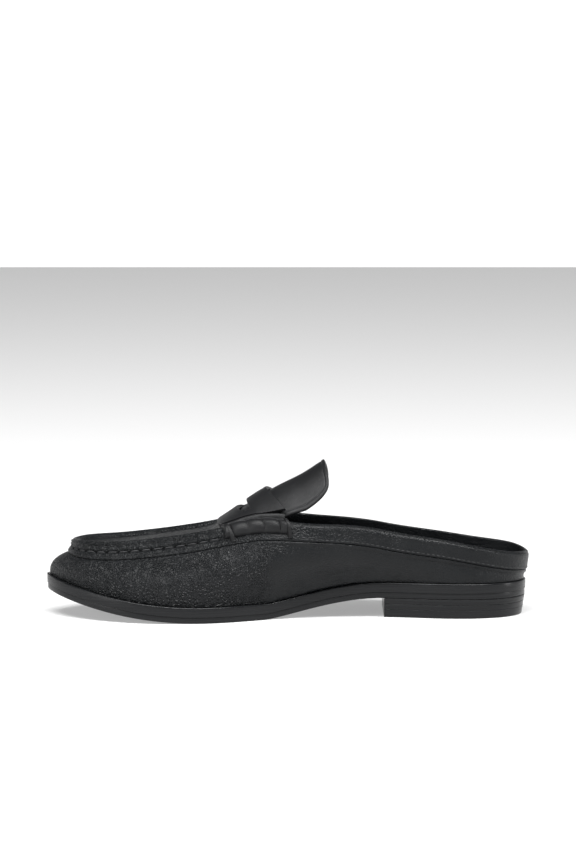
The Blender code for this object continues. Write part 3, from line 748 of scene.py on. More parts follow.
@dataclass
class Upper:
    """Vamp, quarters, moc rim, collar band, plug and lining as one hollow leather wall."""

    last: Last
    seam: MocSeam
    toe_steps: int = 90
    side_steps: int = 130
    collar_steps: int = 250
    wall_steps: int = 44
    wall_crowding: float = 1.25
    lining_steps: int = 8
    crown_steps: int = 6
    thickness: float = 0.0020
    band_step: float = 0.0010
    lip_round: float = 0.045
    shoulder_at: float = 0.86
    groove: float = 0.00085
    groove_width: float = 0.060
    rim_proud: float = 0.0007
    rim_rise: float = 0.10
    bead_at: float = 0.71
    bead: float = 0.00060
    bead_width: float = 0.035
    bead_wave: float = 0.25
    pucker: float = 0.00040
    pucker_length: float = 0.0011
    pucker_above: float = 0.06
    pucker_width: float = 0.12
    crease_end: float = 0.05
    moc_fade: float = 4.0
    piping_drop: float = 0.0018
    piping: float = 0.00050
    piping_edge: float = 0.00025
    piping_clear: float = 0.0005
    side_seam: tuple[float, float] = (0.1375, 0.1462)
    seam_lap: float = 0.00030
    lap_edge: float = 0.0008
    lap_fade: float = 0.0060
    lap_groove: float = 0.0005
    lap_clear: float = 12.0
    collar_crown: float = 0.00035
    collar_edge_share: float = 0.3
    plug_arc: float = 0.0125

    def stations(self) -> Array:
        """Places round the shoe: inner throat, toe corners, outer throat, then the collar."""
        last = self.last
        throat_in = last.around_at(last.throat_at, Side.INNER)
        corner_in = last.around_at(last.toe_corner_at, Side.INNER)
        corner_out = last.around_at(last.toe_corner_at, Side.OUTER)
        throat_out = last.around_at(last.throat_at, Side.OUTER)
        spans = [
            (throat_in, corner_in, self.side_steps),
            (corner_in, corner_out, self.toe_steps),
            (corner_out, throat_out, self.side_steps),
            (throat_out, throat_in + last.knots[-1], self.collar_steps),
        ]
        return np.concatenate([np.linspace(a, b, n, endpoint=False) for a, b, n in spans])

    def normals(self, points: Array) -> Array:
        """Outward normals of a wall that closes round its second axis."""
        padded = np.concatenate([points[:, -1:], points, points[:, :1]], axis=1)
        return unit(np.cross(padded[:, 2:] - padded[:, :-2], np.gradient(points, axis=0)))

    def creases(self, wall: Array, way: Array) -> Array:
        """The listed creases.

        Args:
            wall: the plain wall's points.
            way: way up of each row, as a column.

        Returns:
            Heights, a row for each way up.
        """
        height = np.zeros(wall.shape[:2])
        rise = self.last.throat_rise
        at = np.stack(np.broadcast_arrays(wall[..., 0], way * rise), axis=-1)
        for crease in CREASES:
            start = np.array([crease.from_u, crease.from_way * rise])
            run = np.array([crease.to_u, crease.to_way * rise]) - start
            share = np.clip(((at - start) @ run) / (run @ run), 0.0, 1.0)
            off = np.linalg.norm(at - start - share[..., None] * run, axis=-1)
            fade = np.sin(np.pi * np.clip(share, self.crease_end, 1.0 - self.crease_end))
            on_side = np.sign(wall[..., 1]) == crease.side.value
            height -= crease.depth * bump(off, crease.width) * fade * on_side
        return height

    def piping_strip(self, places: Array, wall: Array) -> Array:
        """The piping under the collar band's lip.

        Args:
            places: stations round the shoe.
            wall: the plain wall's points.

        Returns:
            Heights, a row for each way up.
        """
        row, _ = self.last.sections(places)
        below_lip = np.linalg.norm(wall - wall[-1:], axis=-1)
        collar = 1.0 - smoothstep(row.moc * self.moc_fade)
        strip = smoothstep((self.piping_drop - below_lip) / self.piping_edge + 0.5)
        return self.piping * strip * smoothstep(below_lip / self.piping_clear) * collar

    def side_lap(self, wall: Array, way: Array) -> Array:
        """The lapped seam between vamp and quarter.

        Args:
            wall: the plain wall's points.
            way: way up of each row, as a column.

        Returns:
            Heights, a row for each way up.
        """
        start, end = self.side_seam
        ahead = wall[..., 0] - (start + (end - start) * way)
        lap = smoothstep(ahead / self.lap_edge + 0.5) * bump(ahead, self.lap_fade)
        groove = bump(ahead + self.lap_groove, self.lap_groove)
        return self.seam_lap * (lap - groove) * smoothstep((1.0 - way) * self.lap_clear)

    def relief(self, places: Array, wall: Array, ways: Array) -> Array:
        """How far the wall's surface stands off the plain wall.

        Args:
            places: stations round the shoe.
            wall: the plain wall's points.
            ways: way up of each row.

        Returns:
            Heights, a row for each way up.
        """
        way = ways[:, None]
        seams = self.piping_strip(places, wall) + self.side_lap(wall, way)
        return self.creases(wall, way) + seams

    def band_ways(self) -> Array:
        """Ways up the band, close together at its lip, its bead and its crest."""
        lip = np.array([0.0, 0.008, 0.02, 0.045, 0.10, 0.18, 0.25])
        return np.concatenate([lip, np.linspace(0.30, 0.80, 21), np.linspace(0.82, 0.99, 16)])

    def sewn_relief(self, places: Array, way: Array, round_off: Array) -> Array:
        """Rolled rim, groove, bead and puckers of the moc seam.

        Args:
            places: stations round the shoe.
            way: way up of each row, as a column.
            round_off: how much the crest's rounding leaves of each row.

        Returns:
            Heights, a row for each way up.
        """
        from_hole = self.seam.from_hole(places)
        beads = 1.0 + self.bead_wave * np.cos(4.0 * math.pi * from_hole / self.seam.pitch)
        gather = bump(from_hole, self.pucker_length)
        above = way - self.seam.way
        rim = self.rim_proud * smoothstep(above / self.rim_rise) * round_off
        groove = self.groove * bump(above, self.groove_width)
        bead = self.bead * beads * bump(way - self.bead_at, self.bead_width)
        pucker = self.pucker * gather * bump(above - self.pucker_above, self.pucker_width)
        return rim - groove + bead - pucker

    def band(self, places: Array) -> Array:
        """The band's outer face above the lip.

        Args:
            places: stations round the shoe.

        Returns:
            Points, a row for each way up.
        """
        row, _ = self.last.sections(places)
        lip, crest, face = self.last.band_frame(places)
        way = self.band_ways()[:, None]
        edge = np.sqrt(1.0 - np.clip(1.0 - way / self.lip_round, 0.0, 1.0) ** 2)
        turn = np.clip((way - self.shoulder_at) / (1.0 - self.shoulder_at), 0.0, 1.0)
        round_off = np.sqrt(1.0 - turn**2)
        face_rows = np.array(COLLAR_FACE)
        collar = np.interp(way, face_rows[:, 0], face_rows[:, 1]) * MM
        moc = self.band_step * edge * round_off + self.sewn_relief(places, way, round_off)
        height = moc * row.moc + collar * (1.0 - row.moc)
        return lip + (crest - lip) * way[..., None] + face * height[..., None]

    def crown(self, places: Array) -> Array:
        """The top of the rim or collar.

        Args:
            places: stations round the shoe.

        Returns:
            Points in rows from the crest in to its foot.
        """
        row, _ = self.last.sections(places)
        crest, foot = self.last.rim(places)
        s = np.linspace(0.0, 1.0, self.crown_steps + 1)[:, None]
        drop = self.last.rim_sink * row.moc * (1.0 - np.sqrt(1.0 - s**2))
        rise = self.collar_crown * (1.0 - row.moc) * 4.0 * s * (1.0 - s)
        level = crest + (foot - crest) * s[..., None]
        level[..., 2] = crest[:, 2] - drop + rise
        return level

    def plug(self, ring: Array, lift: float) -> Array:
        """The plug inside the rim.

        Args:
            ring: one row of points round the shoe, which supplies the plug's edge.
            lift: how far off the instep surface the rear edge is.

        Returns:
            Rows that run forwards, columns outwards.
        """
        side, toe = self.side_steps, self.toe_steps
        inner = ring[: side + 1]
        front = ring[side : side + toe + 1]
        outer = ring[side + toe : 2 * side + toe + 1][::-1]
        across = np.linspace(0.0, 1.0, toe + 1)[:, None]
        rear = inner[0] * (1 - across) + outer[0] * across
        rear[:, :1] += self.plug_arc * 4.0 * across * (1 - across)
        rear[1:-1, 2] = self.last.above_instep(rear[1:-1, 0], rear[1:-1, 1], lift)[:, 2]
        patch = fill_patch(rear, inner, front, outer)
        shape = self.last.instep(patch[..., 0], patch[..., 1])
        off = patch[..., 2] - shape
        edges = off[0], off[:, 0], off[-1], off[:, -1]
        patch[..., 2] = shape + fill_patch(*[edge[:, None] for edge in edges])[..., 0]
        return patch

    def lining(self, places: Array) -> Array:
        """The inner face of the wall and the band.

        Args:
            places: stations round the shoe.

        Returns:
            Points in rows from the sole up to the inner edge of the top.
        """
        outer = self.last.wall(places, np.linspace(0.0, 1.0, self.lining_steps + 1))
        inner = outer - self.normals(outer) * self.thickness
        inner[0, :, 2] = self.last.sole_top(inner[0, :, 0]) + self.last.gap
        _, foot = self.last.rim(places)
        row, _ = self.last.sections(places)
        share = self.collar_edge_share + (1.0 - self.collar_edge_share) * row.moc
        edge = foot - UP * (self.thickness * share)[:, None]
        middle = (inner[-1] + edge) / 2.0
        return np.concatenate([inner, middle[None], edge[None]])

    def outer_face(self, places: Array) -> Array:
        """The outer face from the sole to the top's inner edge, a row for each way up."""
        ways = 1.0 - (1.0 - np.linspace(0.0, 1.0, self.wall_steps + 1)) ** self.wall_crowding
        wall = self.last.wall(places, ways)
        wall = wall + self.normals(wall) * self.relief(places, wall, ways)[..., None]
        return np.concatenate([wall[:-1], self.band(places), self.crown(places)])

    def add_plug(self, surface: Surface, numbers: Array, ring: Array, lift: float) -> Array:
        """One face of the plug, joined to the top row of a wall.

        Args:
            surface: where the faces go.
            numbers: the top row's point numbers.
            ring: the top row's points.
            lift: how far off the instep surface the rear edge is.

        Returns:
            The point numbers of the rear edge.
        """
        side, toe = self.side_steps, self.toe_steps
        patch = self.plug(ring, lift)
        made = np.empty(patch.shape[:-1], int)
        made[:, 0] = numbers[: side + 1]
        made[:, -1] = numbers[side + toe : 2 * side + toe + 1][::-1]
        made[-1] = numbers[side : side + toe + 1]
        made[:-1, 1:-1] = surface.add(patch[:-1, 1:-1])
        surface.grid(made)
        return made[0]

    def build(self) -> bpy.types.Object:
        """The upper's mesh."""
        places = self.stations()
        outer, inner = self.outer_face(places), self.lining(places)
        surface = Surface(self.last)
        rings = surface.add(outer), surface.add(inner)
        for ring in rings:
            surface.grid(ring, closed=True)
        surface.bridge(*[np.append(ring[0], ring[0, 0]) for ring in rings])
        collar = 2 * self.side_steps + self.toe_steps
        surface.bridge(*[np.append(ring[-1, collar:], ring[-1, 0]) for ring in rings])
        outer_rear = self.add_plug(surface, rings[0][-1], outer[-1], 0.0)
        inner_rear = self.add_plug(surface, rings[1][-1], inner[-1], -self.thickness)
        surface.bridge(outer_rear, inner_rear)
        return surface.finish("leather_upper", sharp=60.0)


@dataclass
class MocStitches:
    """Thread of the moc seam, and dimples at the punched holes that it goes through, darkened with
    painted shade.
    """

    seam: MocSeam
    upper: Upper
    points: int = 11
    end_gap: float = 0.0009
    arch: float = 0.00060
    sink: float = 0.0002
    end_cut: float = 0.55
    hole_points: int = 7
    hole_radius: float = 0.00058
    hole_depth: float = 0.00025

    def floor(self) -> float:
        """Height of the groove's floor off the plain band."""
        return self.upper.band_step - self.upper.groove

    def build_thread(self) -> bpy.types.Object:
        """One dash of thread between each two holes."""
        surface = Surface(self.seam.last)
        holes = self.seam.holes()
        along = np.linspace(-1.0, 1.0, self.points)
        radii = tapered(self.seam.thread, along, self.end_cut, 6)
        for start, end in zip(holes, holes[1:]):
            middle = (start + end) / 2.0
            reach = (end - start) / 2.0 - self.end_gap
            height = self.floor() + self.arch * (1.0 - np.abs(along) ** 3) - self.sink
            tube(surface, self.seam.on_seam(middle + along * reach, height), radii)
        return surface.finish("moc_thread")

    def build_holes(self) -> bpy.types.Object:
        """A dimple at each hole, made dark with painted shade for the hole's inside."""
        surface = Surface(self.seam.last)
        along = np.linspace(-1.0, 1.0, self.hole_points)
        radii = tapered(self.hole_radius, along, 1.0, 2)
        height = np.full(len(along), self.floor() + self.hole_depth - self.upper.pucker)
        for hole in self.seam.holes():
            tube(surface, self.seam.on_seam(hole + along * self.hole_radius, height), radii)
        return surface.finish("moc_hole_shade")


@dataclass
class CollarStitches:
    """The fine lockstitch row along the collar band's lower edge."""

    last: Last
    upper: Upper
    pitch: float = 0.0028
    dash: float = 0.0019
    way: float = 0.115
    radius: float = 0.00022
    from_u: float = 0.1290
    points: int = 6
    sides: int = 6
    end_cut: float = 0.8

    def build(self) -> bpy.types.Object:
        """All the dashes in one mesh."""
        ends = [self.last.around_at(self.from_u, side) for side in (Side.OUTER, Side.INNER)]
        places = np.linspace(ends[0], ends[1] + self.last.knots[-1], self.last.dense)
        lip, crest, face = self.last.band_frame(places)
        line = lip + (crest - lip) * self.way + face * self.upper.band_step
        sewn = run_length(line)
        surface = Surface(self.last)
        along = np.linspace(-1.0, 1.0, self.points)
        radii = tapered(self.radius, along, self.end_cut, 4)
        for start in np.arange(0.0, sewn[-1] - self.pitch, self.pitch):
            at = start + (1.0 + along) * self.dash / 2.0
            points = np.stack([np.interp(at, sewn, line[:, i]) for i in range(3)], axis=1)
            tube(surface, points, radii, self.sides)
        return surface.finish("collar_stitches")


@dataclass
class Tongue:
    """The tall arched tongue with its turned edge."""

    last: Last
    upper: Upper
    thickness: float = 0.0018
    front_at: float = 0.6212 * LENGTH
    strap_back_at: float = 0.5379 * LENGTH
    half_width: float = 0.0262
    tuck: float = 0.0050
    corner: float = 0.75
    corner_depth: float = 0.0120
    corner_power: float = 2.5
    tip_set_back: float = 0.0031
    tip_power: float = 1.5
    edge_line: float = 0.0017
    line_depth: float = 0.00022
    line_width: float = 0.00030
    edge_swell: float = 0.00018
    edge_round: float = 0.00055
    press: float = 0.0019
    rise_length: float = 0.0020
    fade_length: float = 0.0200
    rows: int = 110
    columns: int = 130
    side_points: int = 300
    top_points: int = 700

    def end(self, across: Array) -> Array:
        """Where the top edge lies for a place across, with its rounded corners."""
        flat = np.clip(1.0 - (across / self.corner) ** 2, 0.0, None) ** self.tip_power
        turn = np.clip((np.abs(across) - self.corner) / (1.0 - self.corner), 0.0, None)
        edge = self.last.tongue_back_at + self.tip_set_back * flat
        return edge + self.corner_depth * turn**self.corner_power

    def outline(self, along: Array, across: Array) -> tuple[Array, Array]:
        """Places u and y of the tongue for shares along and across it."""
        u = self.front_at + (self.end(across) - self.front_at) * along
        taper = smoothstep((self.front_at - u) / (self.front_at - self.strap_back_at))
        return u, across * (self.half_width - self.tuck * (1.0 - taper))

    def edge(self) -> Array:
        """Points along the tongue's free edges, in plan."""
        side = np.linspace(0.0, 1.0, self.side_points)
        across = np.sin(np.linspace(-1.0, 1.0, self.top_points) * math.pi / 2.0)
        parts = [
            self.outline(side, np.full(side.shape, -1.0)),
            self.outline(np.ones(across.shape), across),
            self.outline(side[::-1], np.ones(side.shape)),
        ]
        return np.concatenate([np.stack(part, axis=1) for part in parts])

    def pressed(self, u: Array, across: Array) -> Array:
        """How far the tongue is pushed up against the strap, behind the plug's edge."""
        behind_plug = self.last.throat_at + self.upper.plug_arc * (1.0 - across**2) - u
        under_strap = smoothstep(behind_plug / self.rise_length)
        past_strap = smoothstep((self.strap_back_at - u) / self.fade_length)
        return self.press * under_strap * (1.0 - past_strap) * (1.0 - across**4)

    def build(self) -> bpy.types.Object:
        """The tongue's mesh."""
        along = np.sin(np.linspace(0.0, 1.0, self.rows) * math.pi / 2.0)[:, None]
        across = np.sin(np.linspace(-1.0, 1.0, self.columns) * math.pi / 2.0)[None, :]
        u, y = self.outline(along, across)
        off = from_line(np.stack([u, y], axis=-1), self.edge())
        lift = self.pressed(u, across) - (self.upper.thickness + self.last.gap)
        line = self.line_depth * bump(off - self.edge_line, self.line_width)
        swell = self.edge_swell * smoothstep((self.edge_line - off) / self.line_width)
        fall = edge_fall(off, self.edge_round)
        outer = self.last.above_instep(u, y, lift - line + swell - fall)
        inner = self.last.above_instep(u, y, lift - self.thickness + fall)
        surface = Surface(self.last)
        thick_sheet(surface, inner, outer)
        return surface.finish("leather_tongue", sharp=75.0)


@dataclass
class SaddleStrap:
    """The strap over the instep with its long slot."""

    last: Last
    thickness: float = 0.0022
    front_at: float = 0.6402 * LENGTH
    back_at: float = 0.5379 * LENGTH
    back_sweep: float = 0.0100
    front_sweep: float = 0.0020
    slot_front_at: float = 0.5992 * LENGTH
    slot_back_at: float = 0.5788 * LENGTH
    slot_half: float = 0.0190
    slot_end_share: float = 0.6
    slot_sweep: float = 0.45
    slot_steps: int = 120
    wing_steps: int = 24
    end_points: int = 12
    edge_round: float = 0.00055
    rows: tuple[float, ...] = (0.0, 0.006, 0.02, 0.04, 0.07, 0.12, 0.25, 0.40, 0.50)

    def end(self, u: Array, side: Side) -> Array:
        """Half width at which the strap stops short of its roll.

        Args:
            u: places along the shoe.
            side: the side of the foot.

        Returns:
            A half width for each place.
        """
        half, edge = self.last.side_edge(u, side)
        slope = np.clip(2.0 * (self.last.ridge_height(u) - edge) / half, 0.0, None)
        lean = slope / np.hypot(slope, 1.0)
        return half - 2.0 * self.last.gap - (self.thickness + self.last.gap) * lean

    def shares(self) -> tuple[Array, float]:
        """Shares from side to side of the strap, and the share at which the slot ends."""
        half_in, _ = self.last.side_edge(np.array([self.slot_back_at]), Side.INNER)
        share = self.slot_half / half_in[0]
        inside = np.linspace(-share, share, self.slot_steps + 1)
        wing = np.linspace(1.0, share, self.wing_steps, endpoint=False)
        return np.concatenate([-wing, inside, wing[::-1]]), share

    def plan(self, across: Array, share: float) -> tuple[Array, Array]:
        """The strap in plan.

        Args:
            across: shares from side to side.
            share: the share at which the slot ends.

        Returns:
            Places u and y. Rows run backwards, and the slot lies between the middle two.
        """
        bend = across**2
        front = self.front_at - self.front_sweep * bend
        back = self.back_at - self.back_sweep * bend
        narrow = (1.0 - self.slot_end_share) * np.clip(np.abs(across) / share, 0.0, 1.0) ** 2
        width = (self.slot_front_at - self.slot_back_at) / 2.0 * (1.0 - narrow)
        middle = (self.slot_front_at + self.slot_back_at) / 2.0
        middle = middle - self.back_sweep * self.slot_sweep * bend
        ways = np.array(self.rows)
        ways = np.concatenate([ways, 1.0 - ways[-2::-1]])[:, None]
        ahead = front + (middle + width - front) * ways
        behind = (middle - width) * (1 - ways) + back * ways
        u = np.concatenate([ahead, behind])
        halves = [self.end(u, side) for side in Side]
        return u, across * np.where(across < 0.0, halves[0], halves[1])

    def edges(self, plan: Array, slot: slice) -> Array:
        """Points along the strap's front and rear edges and round its slot, in plan."""
        ahead, behind = plan[len(plan) // 2 - 1, slot], plan[len(plan) // 2, slot]
        ends = [np.linspace(ahead[i], behind[i], self.end_points) for i in (0, -1)]
        return np.concatenate([plan[0], plan[-1], ahead, behind, *ends])

    def build(self) -> bpy.types.Object:
        """The strap's mesh, its edges rounded."""
        across, share = self.shares()
        u, y = self.plan(across, share)
        slot = slice(self.wing_steps, -self.wing_steps)
        mask = np.ones((len(u) - 1, len(across) - 1), bool)
        mask[len(u) // 2 - 1, slot] = False
        plan = np.stack([u, y], axis=-1)
        fall = edge_fall(from_line(plan, self.edges(plan, slot)), self.edge_round)
        lower = self.last.above_instep(u, y, np.full(u.shape, self.last.gap))
        upper = self.last.above_instep(u, y, self.last.gap + self.thickness - fall)
        surface = Surface(self.last)
        thick_sheet(surface, lower, upper, mask)
        return surface.finish("leather_strap", sharp=60.0)


@dataclass
class StrapRoll:
    """The wrapped roll over one end of the strap: bulges between tight wraps of thread."""

    last: Last
    upper: Upper
    side: Side
    thickness: float = 0.0036
    front_at: float = 0.6333 * LENGTH
    back_at: float = 0.5038 * LENGTH
    first_groove: float = 0.113
    groove_pitch: float = 0.258
    groove_depth: float = 0.42
    fullness: float = 0.55
    along_steps: int = 150
    across_steps: int = 40
    end_round: float = 0.05
    end_height: float = 0.35
    bed_shoulder: float = 0.8
    over_crest: float = 0.25
    sink: float = 0.0002
    flange_front: float = 0.75
    flange_rise: float = 0.85
    strip_width: float = 0.0024
    strip_height: float = 0.0009
    strip_steps: int = 26
    strip_cells: int = 9
    strip_ways: tuple[float, float] = (1.22, 0.10)
    strip_lean: tuple[float, float] = (1.25, 0.3)
    strip_body: float = 0.72
    strip_end: float = 0.95
    strip_round: float = 0.75
    front_strip: tuple[float, float] = (0.02, 0.12)
    rear_strip: tuple[float, float] = (1.0, 1.03)

    def bed(self, places: Array, ways: Array) -> tuple[Array, Array]:
        """Points that the roll lies on, and the way square off the band.

        Args:
            places: stations along the roll.
            ways: way up the band; above 1 the place moves in over the crest.

        Returns:
            Points with a row for each way, and one direction for each station.
        """
        lip, crest, face = self.last.band_frame(places)
        _, foot = self.last.rim(places)
        rows = []
        for way in ways:
            if way <= 1.0:
                turn = max(way - self.bed_shoulder, 0.0) / (1.0 - self.bed_shoulder)
                height = self.upper.band_step * math.sqrt(max(1.0 - turn, 0.0))
                rows.append(lip + (crest - lip) * way + face * height)
            else:
                rows.append(crest + (foot - crest) * (way - 1.0) / self.over_crest)
        return np.stack(rows), face

    def rows(self, along: Array, scale: Array) -> tuple[Array, Array]:
        """The roll's underside and outer face.

        Args:
            along: shares of the roll's length.
            scale: share of full height at each.

        Returns:
            Two grids; rows run from the inner edge over the crest to the lower edge.
        """
        table = np.array(ROLL_SECTION, float)
        knots = np.linspace(0.0, 1.0, len(table))
        fine = np.linspace(0.0, 1.0, self.across_steps + 1)
        ends = self.last.around_at(np.array([self.front_at, self.back_at]), self.side)
        places = ends[0] + (ends[1] - ends[0]) * along
        beds, face = self.bed(places, table[:, 0])
        lean = table[:, 1][:, None, None]
        normal = unit(UP * (1.0 - lean) + face * lean)
        part = table[:, 3][:, None]
        grown = 1.0 + (1.0 - part) * (self.flange_rise * along - 1.0 + self.flange_front)
        tall = self.thickness * table[:, 2][:, None] * (1.0 - part + part * scale) * grown
        sunk = beds - normal * self.sink
        full = beds + normal * tall[..., None]
        flat = [np.concatenate(grid.transpose(1, 0, 2), axis=1) for grid in (sunk, full)]
        lower, upper = [spline(knots, grid, fine).reshape(len(fine), -1, 3) for grid in flat]
        return lower, upper

    def build(self) -> bpy.types.Object:
        """The padded roll."""
        share = np.linspace(0.0, 1.0, self.along_steps + 1)
        turns = (share - self.first_groove) / self.groove_pitch
        wave = np.abs(np.sin(math.pi * turns)) ** self.fullness
        scale = 1.0 - self.groove_depth * (1.0 - wave)
        end = np.clip((1.0 - np.abs(2.0 * share - 1.0)) / self.end_round, 0.0, 1.0)
        rounded = np.sqrt(1.0 - (1.0 - end) ** 2)
        scale = scale * (self.end_height + (1.0 - self.end_height) * rounded)
        lower, upper = self.rows(share, scale)
        surface = Surface(self.last)
        thick_sheet(surface, lower, upper)
        return surface.finish(f"leather_roll_{self.side.name.lower()}", sharp=70.0)

    def strip(self, name: str, top_at: float, bottom_at: float) -> bpy.types.Object:
        """A leather strip wrapped over the roll.

        Args:
            name: the piece's name.
            top_at, bottom_at: shares of the roll's length at its top and its bottom.

        Returns:
            The strip.
        """
        ends = self.last.around_at(np.array([self.front_at, self.back_at]), self.side)
        down = np.linspace(0.0, 1.0, self.strip_steps)
        ways = self.strip_ways[0] + (self.strip_ways[1] - self.strip_ways[0]) * down
        over = np.sin(np.pi * np.clip(down / self.strip_end, 0.0, 1.0)) ** 0.5
        centre = ends[0] + (ends[1] - ends[0]) * (top_at + (bottom_at - top_at) * down)
        cells = np.linspace(-1.0, 1.0, self.strip_cells)
        across = np.sign(ends[1] - ends[0]) * cells * self.strip_width / 2.0
        edges = self.strip_height * np.sqrt(1.0 - self.strip_round * cells**4)[:, None]
        lower, upper = [], []
        for at, way, rise in zip(centre, ways, over):
            beds, face = self.bed(at + across, np.array([way]))
            lean = float(np.clip((self.strip_lean[0] - way) / self.strip_lean[1], 0.0, 1.0))
            normal = unit(UP * (1.0 - lean) + face * lean)
            lower.append(beds[0] - normal * self.sink)
            upper.append(beds[0] + normal * (self.thickness * self.strip_body * rise + edges))
        surface = Surface(self.last)
        thick_sheet(surface, np.stack(lower), np.stack(upper))
        return surface.finish(name, sharp=60.0)

    def build_strips(self) -> list[bpy.types.Object]:
        """The slanting strip at the front of the roll and the upright one behind it."""
        name = self.side.name.lower()
        front = self.strip(f"front_wrap_{name}", *self.front_strip)
        return [front, self.strip(f"rear_wrap_{name}", *self.rear_strip)]


@dataclass
class SoleUnit:
    """Insole, midsole, outsole and stacked heel."""

    last: Last
    outsole_thickness: float = 0.0034
    welt_proud: float = 0.0004
    top_piece: float = 0.0045
    heel_lifts: int = 2
    touch: float = 0.00004
    heel_taper: float = 0.0017
    insole_thickness: float = 0.0030
    wall: float = 0.0020
    edge_round: float = 0.0007
    seam: float = 0.00016
    steps: int = 220
    heel_steps: int = 90
    turn_steps: int = 5

    def outline(self, u: Array, inset: Array | float) -> list[Array]:
        """The sole's edge on both sides.

        Args:
            u: places along the sole.
            inset: how far in from the edge, for all places or for each.

        Returns:
            Places (u, y) on the inner side, then on the outer side.
        """
        lines = []
        for side in Side:
            row, outward = self.last.sections(self.last.around_at(u, side, of_rim=False))
            by = np.broadcast_to(inset, u.shape)[:, None]
            lines.append(np.stack([row.sole_u, row.sole_y], axis=1) - outward * by)
        return lines

    def slab(self, name: str, u: Array, levels: Levels) -> bpy.types.Object:
        """A slab with the sole's outline.

        Args:
            name: the piece's name.
            u: places from the back forwards.
            levels: from bottom to top, each with its inset and its height function.

        Returns:
            The slab.
        """
        surface = Surface(self.last)
        to_toe = abs(u[-1] - self.last.length) < self.last.gap
        loops = []
        for inset, height in levels:
            inner, outer = self.outline(u, inset)
            inner[0] = outer[0] = (inner[0] + outer[0]) / 2.0
            if to_toe:
                inner[-1] = outer[-1] = (inner[-1] + outer[-1]) / 2.0
                ring = np.concatenate([inner, outer[-2:0:-1]])
            else:
                inner[-1, 0] = outer[-1, 0] = u[-1]
                ring = np.concatenate([inner, outer[:0:-1]])
            loops.append(surface.add(place(ring[:, 0], ring[:, 1], height(ring[:, 0]))))
        surface.grid(np.stack(loops), closed=True)
        for ring in (loops[0], loops[-1]):
            left = ring[: len(u)]
            right = np.concatenate([[ring[0]], ring[len(u) :][::-1]])
            if to_toe:
                right = np.append(right, left[-1])
            surface.bridge(left, right)
        return surface.finish(name, sharp=50.0)

    def spacing(self, count: int, end: float, open_front: bool) -> Array:
        """Places from the back forwards, closer together where the outline turns.

        Args:
            count: how many steps.
            end: the last place.
            open_front: whether the outline is cut straight there and doesn't turn.

        Returns:
            The places.
        """
        t = np.linspace(0.0, 1.0, count + 1)
        if open_front:
            return end * (1.0 - np.cos(t * math.pi / 2.0))
        return end * (1.0 - np.cos(t * math.pi)) / 2.0

    def rounded(
        self, low: Height, high: Height, inset: float, bottom: float, top: float
    ) -> Levels:
        """Levels of a slab whose lower and upper edges are rounded.

        Args:
            low, high: height functions of its two faces.
            inset: how far in its edge lies.
            bottom, top: radius of each edge.

        Returns:
            Levels from bottom to top.
        """
        levels = []
        for turn in np.linspace(0.0, math.pi / 2.0, self.turn_steps):
            by, rise = bottom * (1.0 - math.sin(turn)), bottom * (1.0 - math.cos(turn))
            levels.append((inset + by, lambda u, rise=rise: low(u) + rise))
        for turn in np.linspace(math.pi / 2.0, 0.0, self.turn_steps):
            by, fall = top * (1.0 - math.sin(turn)), top * (1.0 - math.cos(turn))
            levels.append((inset + by, lambda u, fall=fall: high(u) - fall))
        return levels

    def layer(self, name: str, levels: Levels) -> bpy.types.Object:
        """A slab as long as the sole."""
        return self.slab(name, self.spacing(self.steps, self.last.length, False), levels)

    def build_outsole(self) -> bpy.types.Object:
        """The walking layer."""
        low, top = self.last.outsole_bottom, self.outsole_thickness - self.touch
        levels = self.rounded(
            low, lambda at: low(at) + top, self.welt_proud, self.edge_round, self.seam
        )
        return self.layer("sole_walking_layer", levels)

    def build_midsole(self) -> bpy.types.Object:
        """The welt layer that the upper stands on."""
        low, high = self.last.outsole_bottom, self.last.sole_top
        levels = self.rounded(
            lambda at: low(at) + self.outsole_thickness, high, 0.0, self.seam, self.edge_round
        )
        return self.layer("sole_welt_layer", levels)

    def build_insole(self) -> bpy.types.Object:
        """The sock that the foot stands on, inside the wall."""
        base, gap = self.last.sole_top, self.last.gap
        levels = self.rounded(
            lambda at: base(at) + gap,
            lambda at: base(at) + self.insole_thickness,
            0.5 * self.last.feather_inset + self.wall + 2.0 * gap,
            self.seam,
            self.edge_round,
        )
        return self.layer("sock_lining", levels)

    def build_heel(self) -> list[bpy.types.Object]:
        """Top piece and lifts, each with fine edges."""
        u = self.spacing(self.heel_steps, self.last.heel_length, True)
        seams = np.linspace(self.top_piece, self.last.heel_height, self.heel_lifts + 1)
        slope = self.heel_taper / self.last.heel_height
        made = []
        for i, (low, high) in enumerate(zip(np.append(0.0, seams), seams - self.touch)):
            levels = []
            for inset, height in self.rounded(
                lambda at, low=low: np.full(np.shape(at), low),
                lambda at, high=high: np.full(np.shape(at), high),
                self.welt_proud,
                self.edge_round if i == 0 else self.seam,
                self.seam,
            ):
                taper = self.heel_taper - slope * float(height(0.0))
                levels.append((inset + taper, height))
            made.append(self.slab(f"heel_layer_{i}", u, levels))
        return made


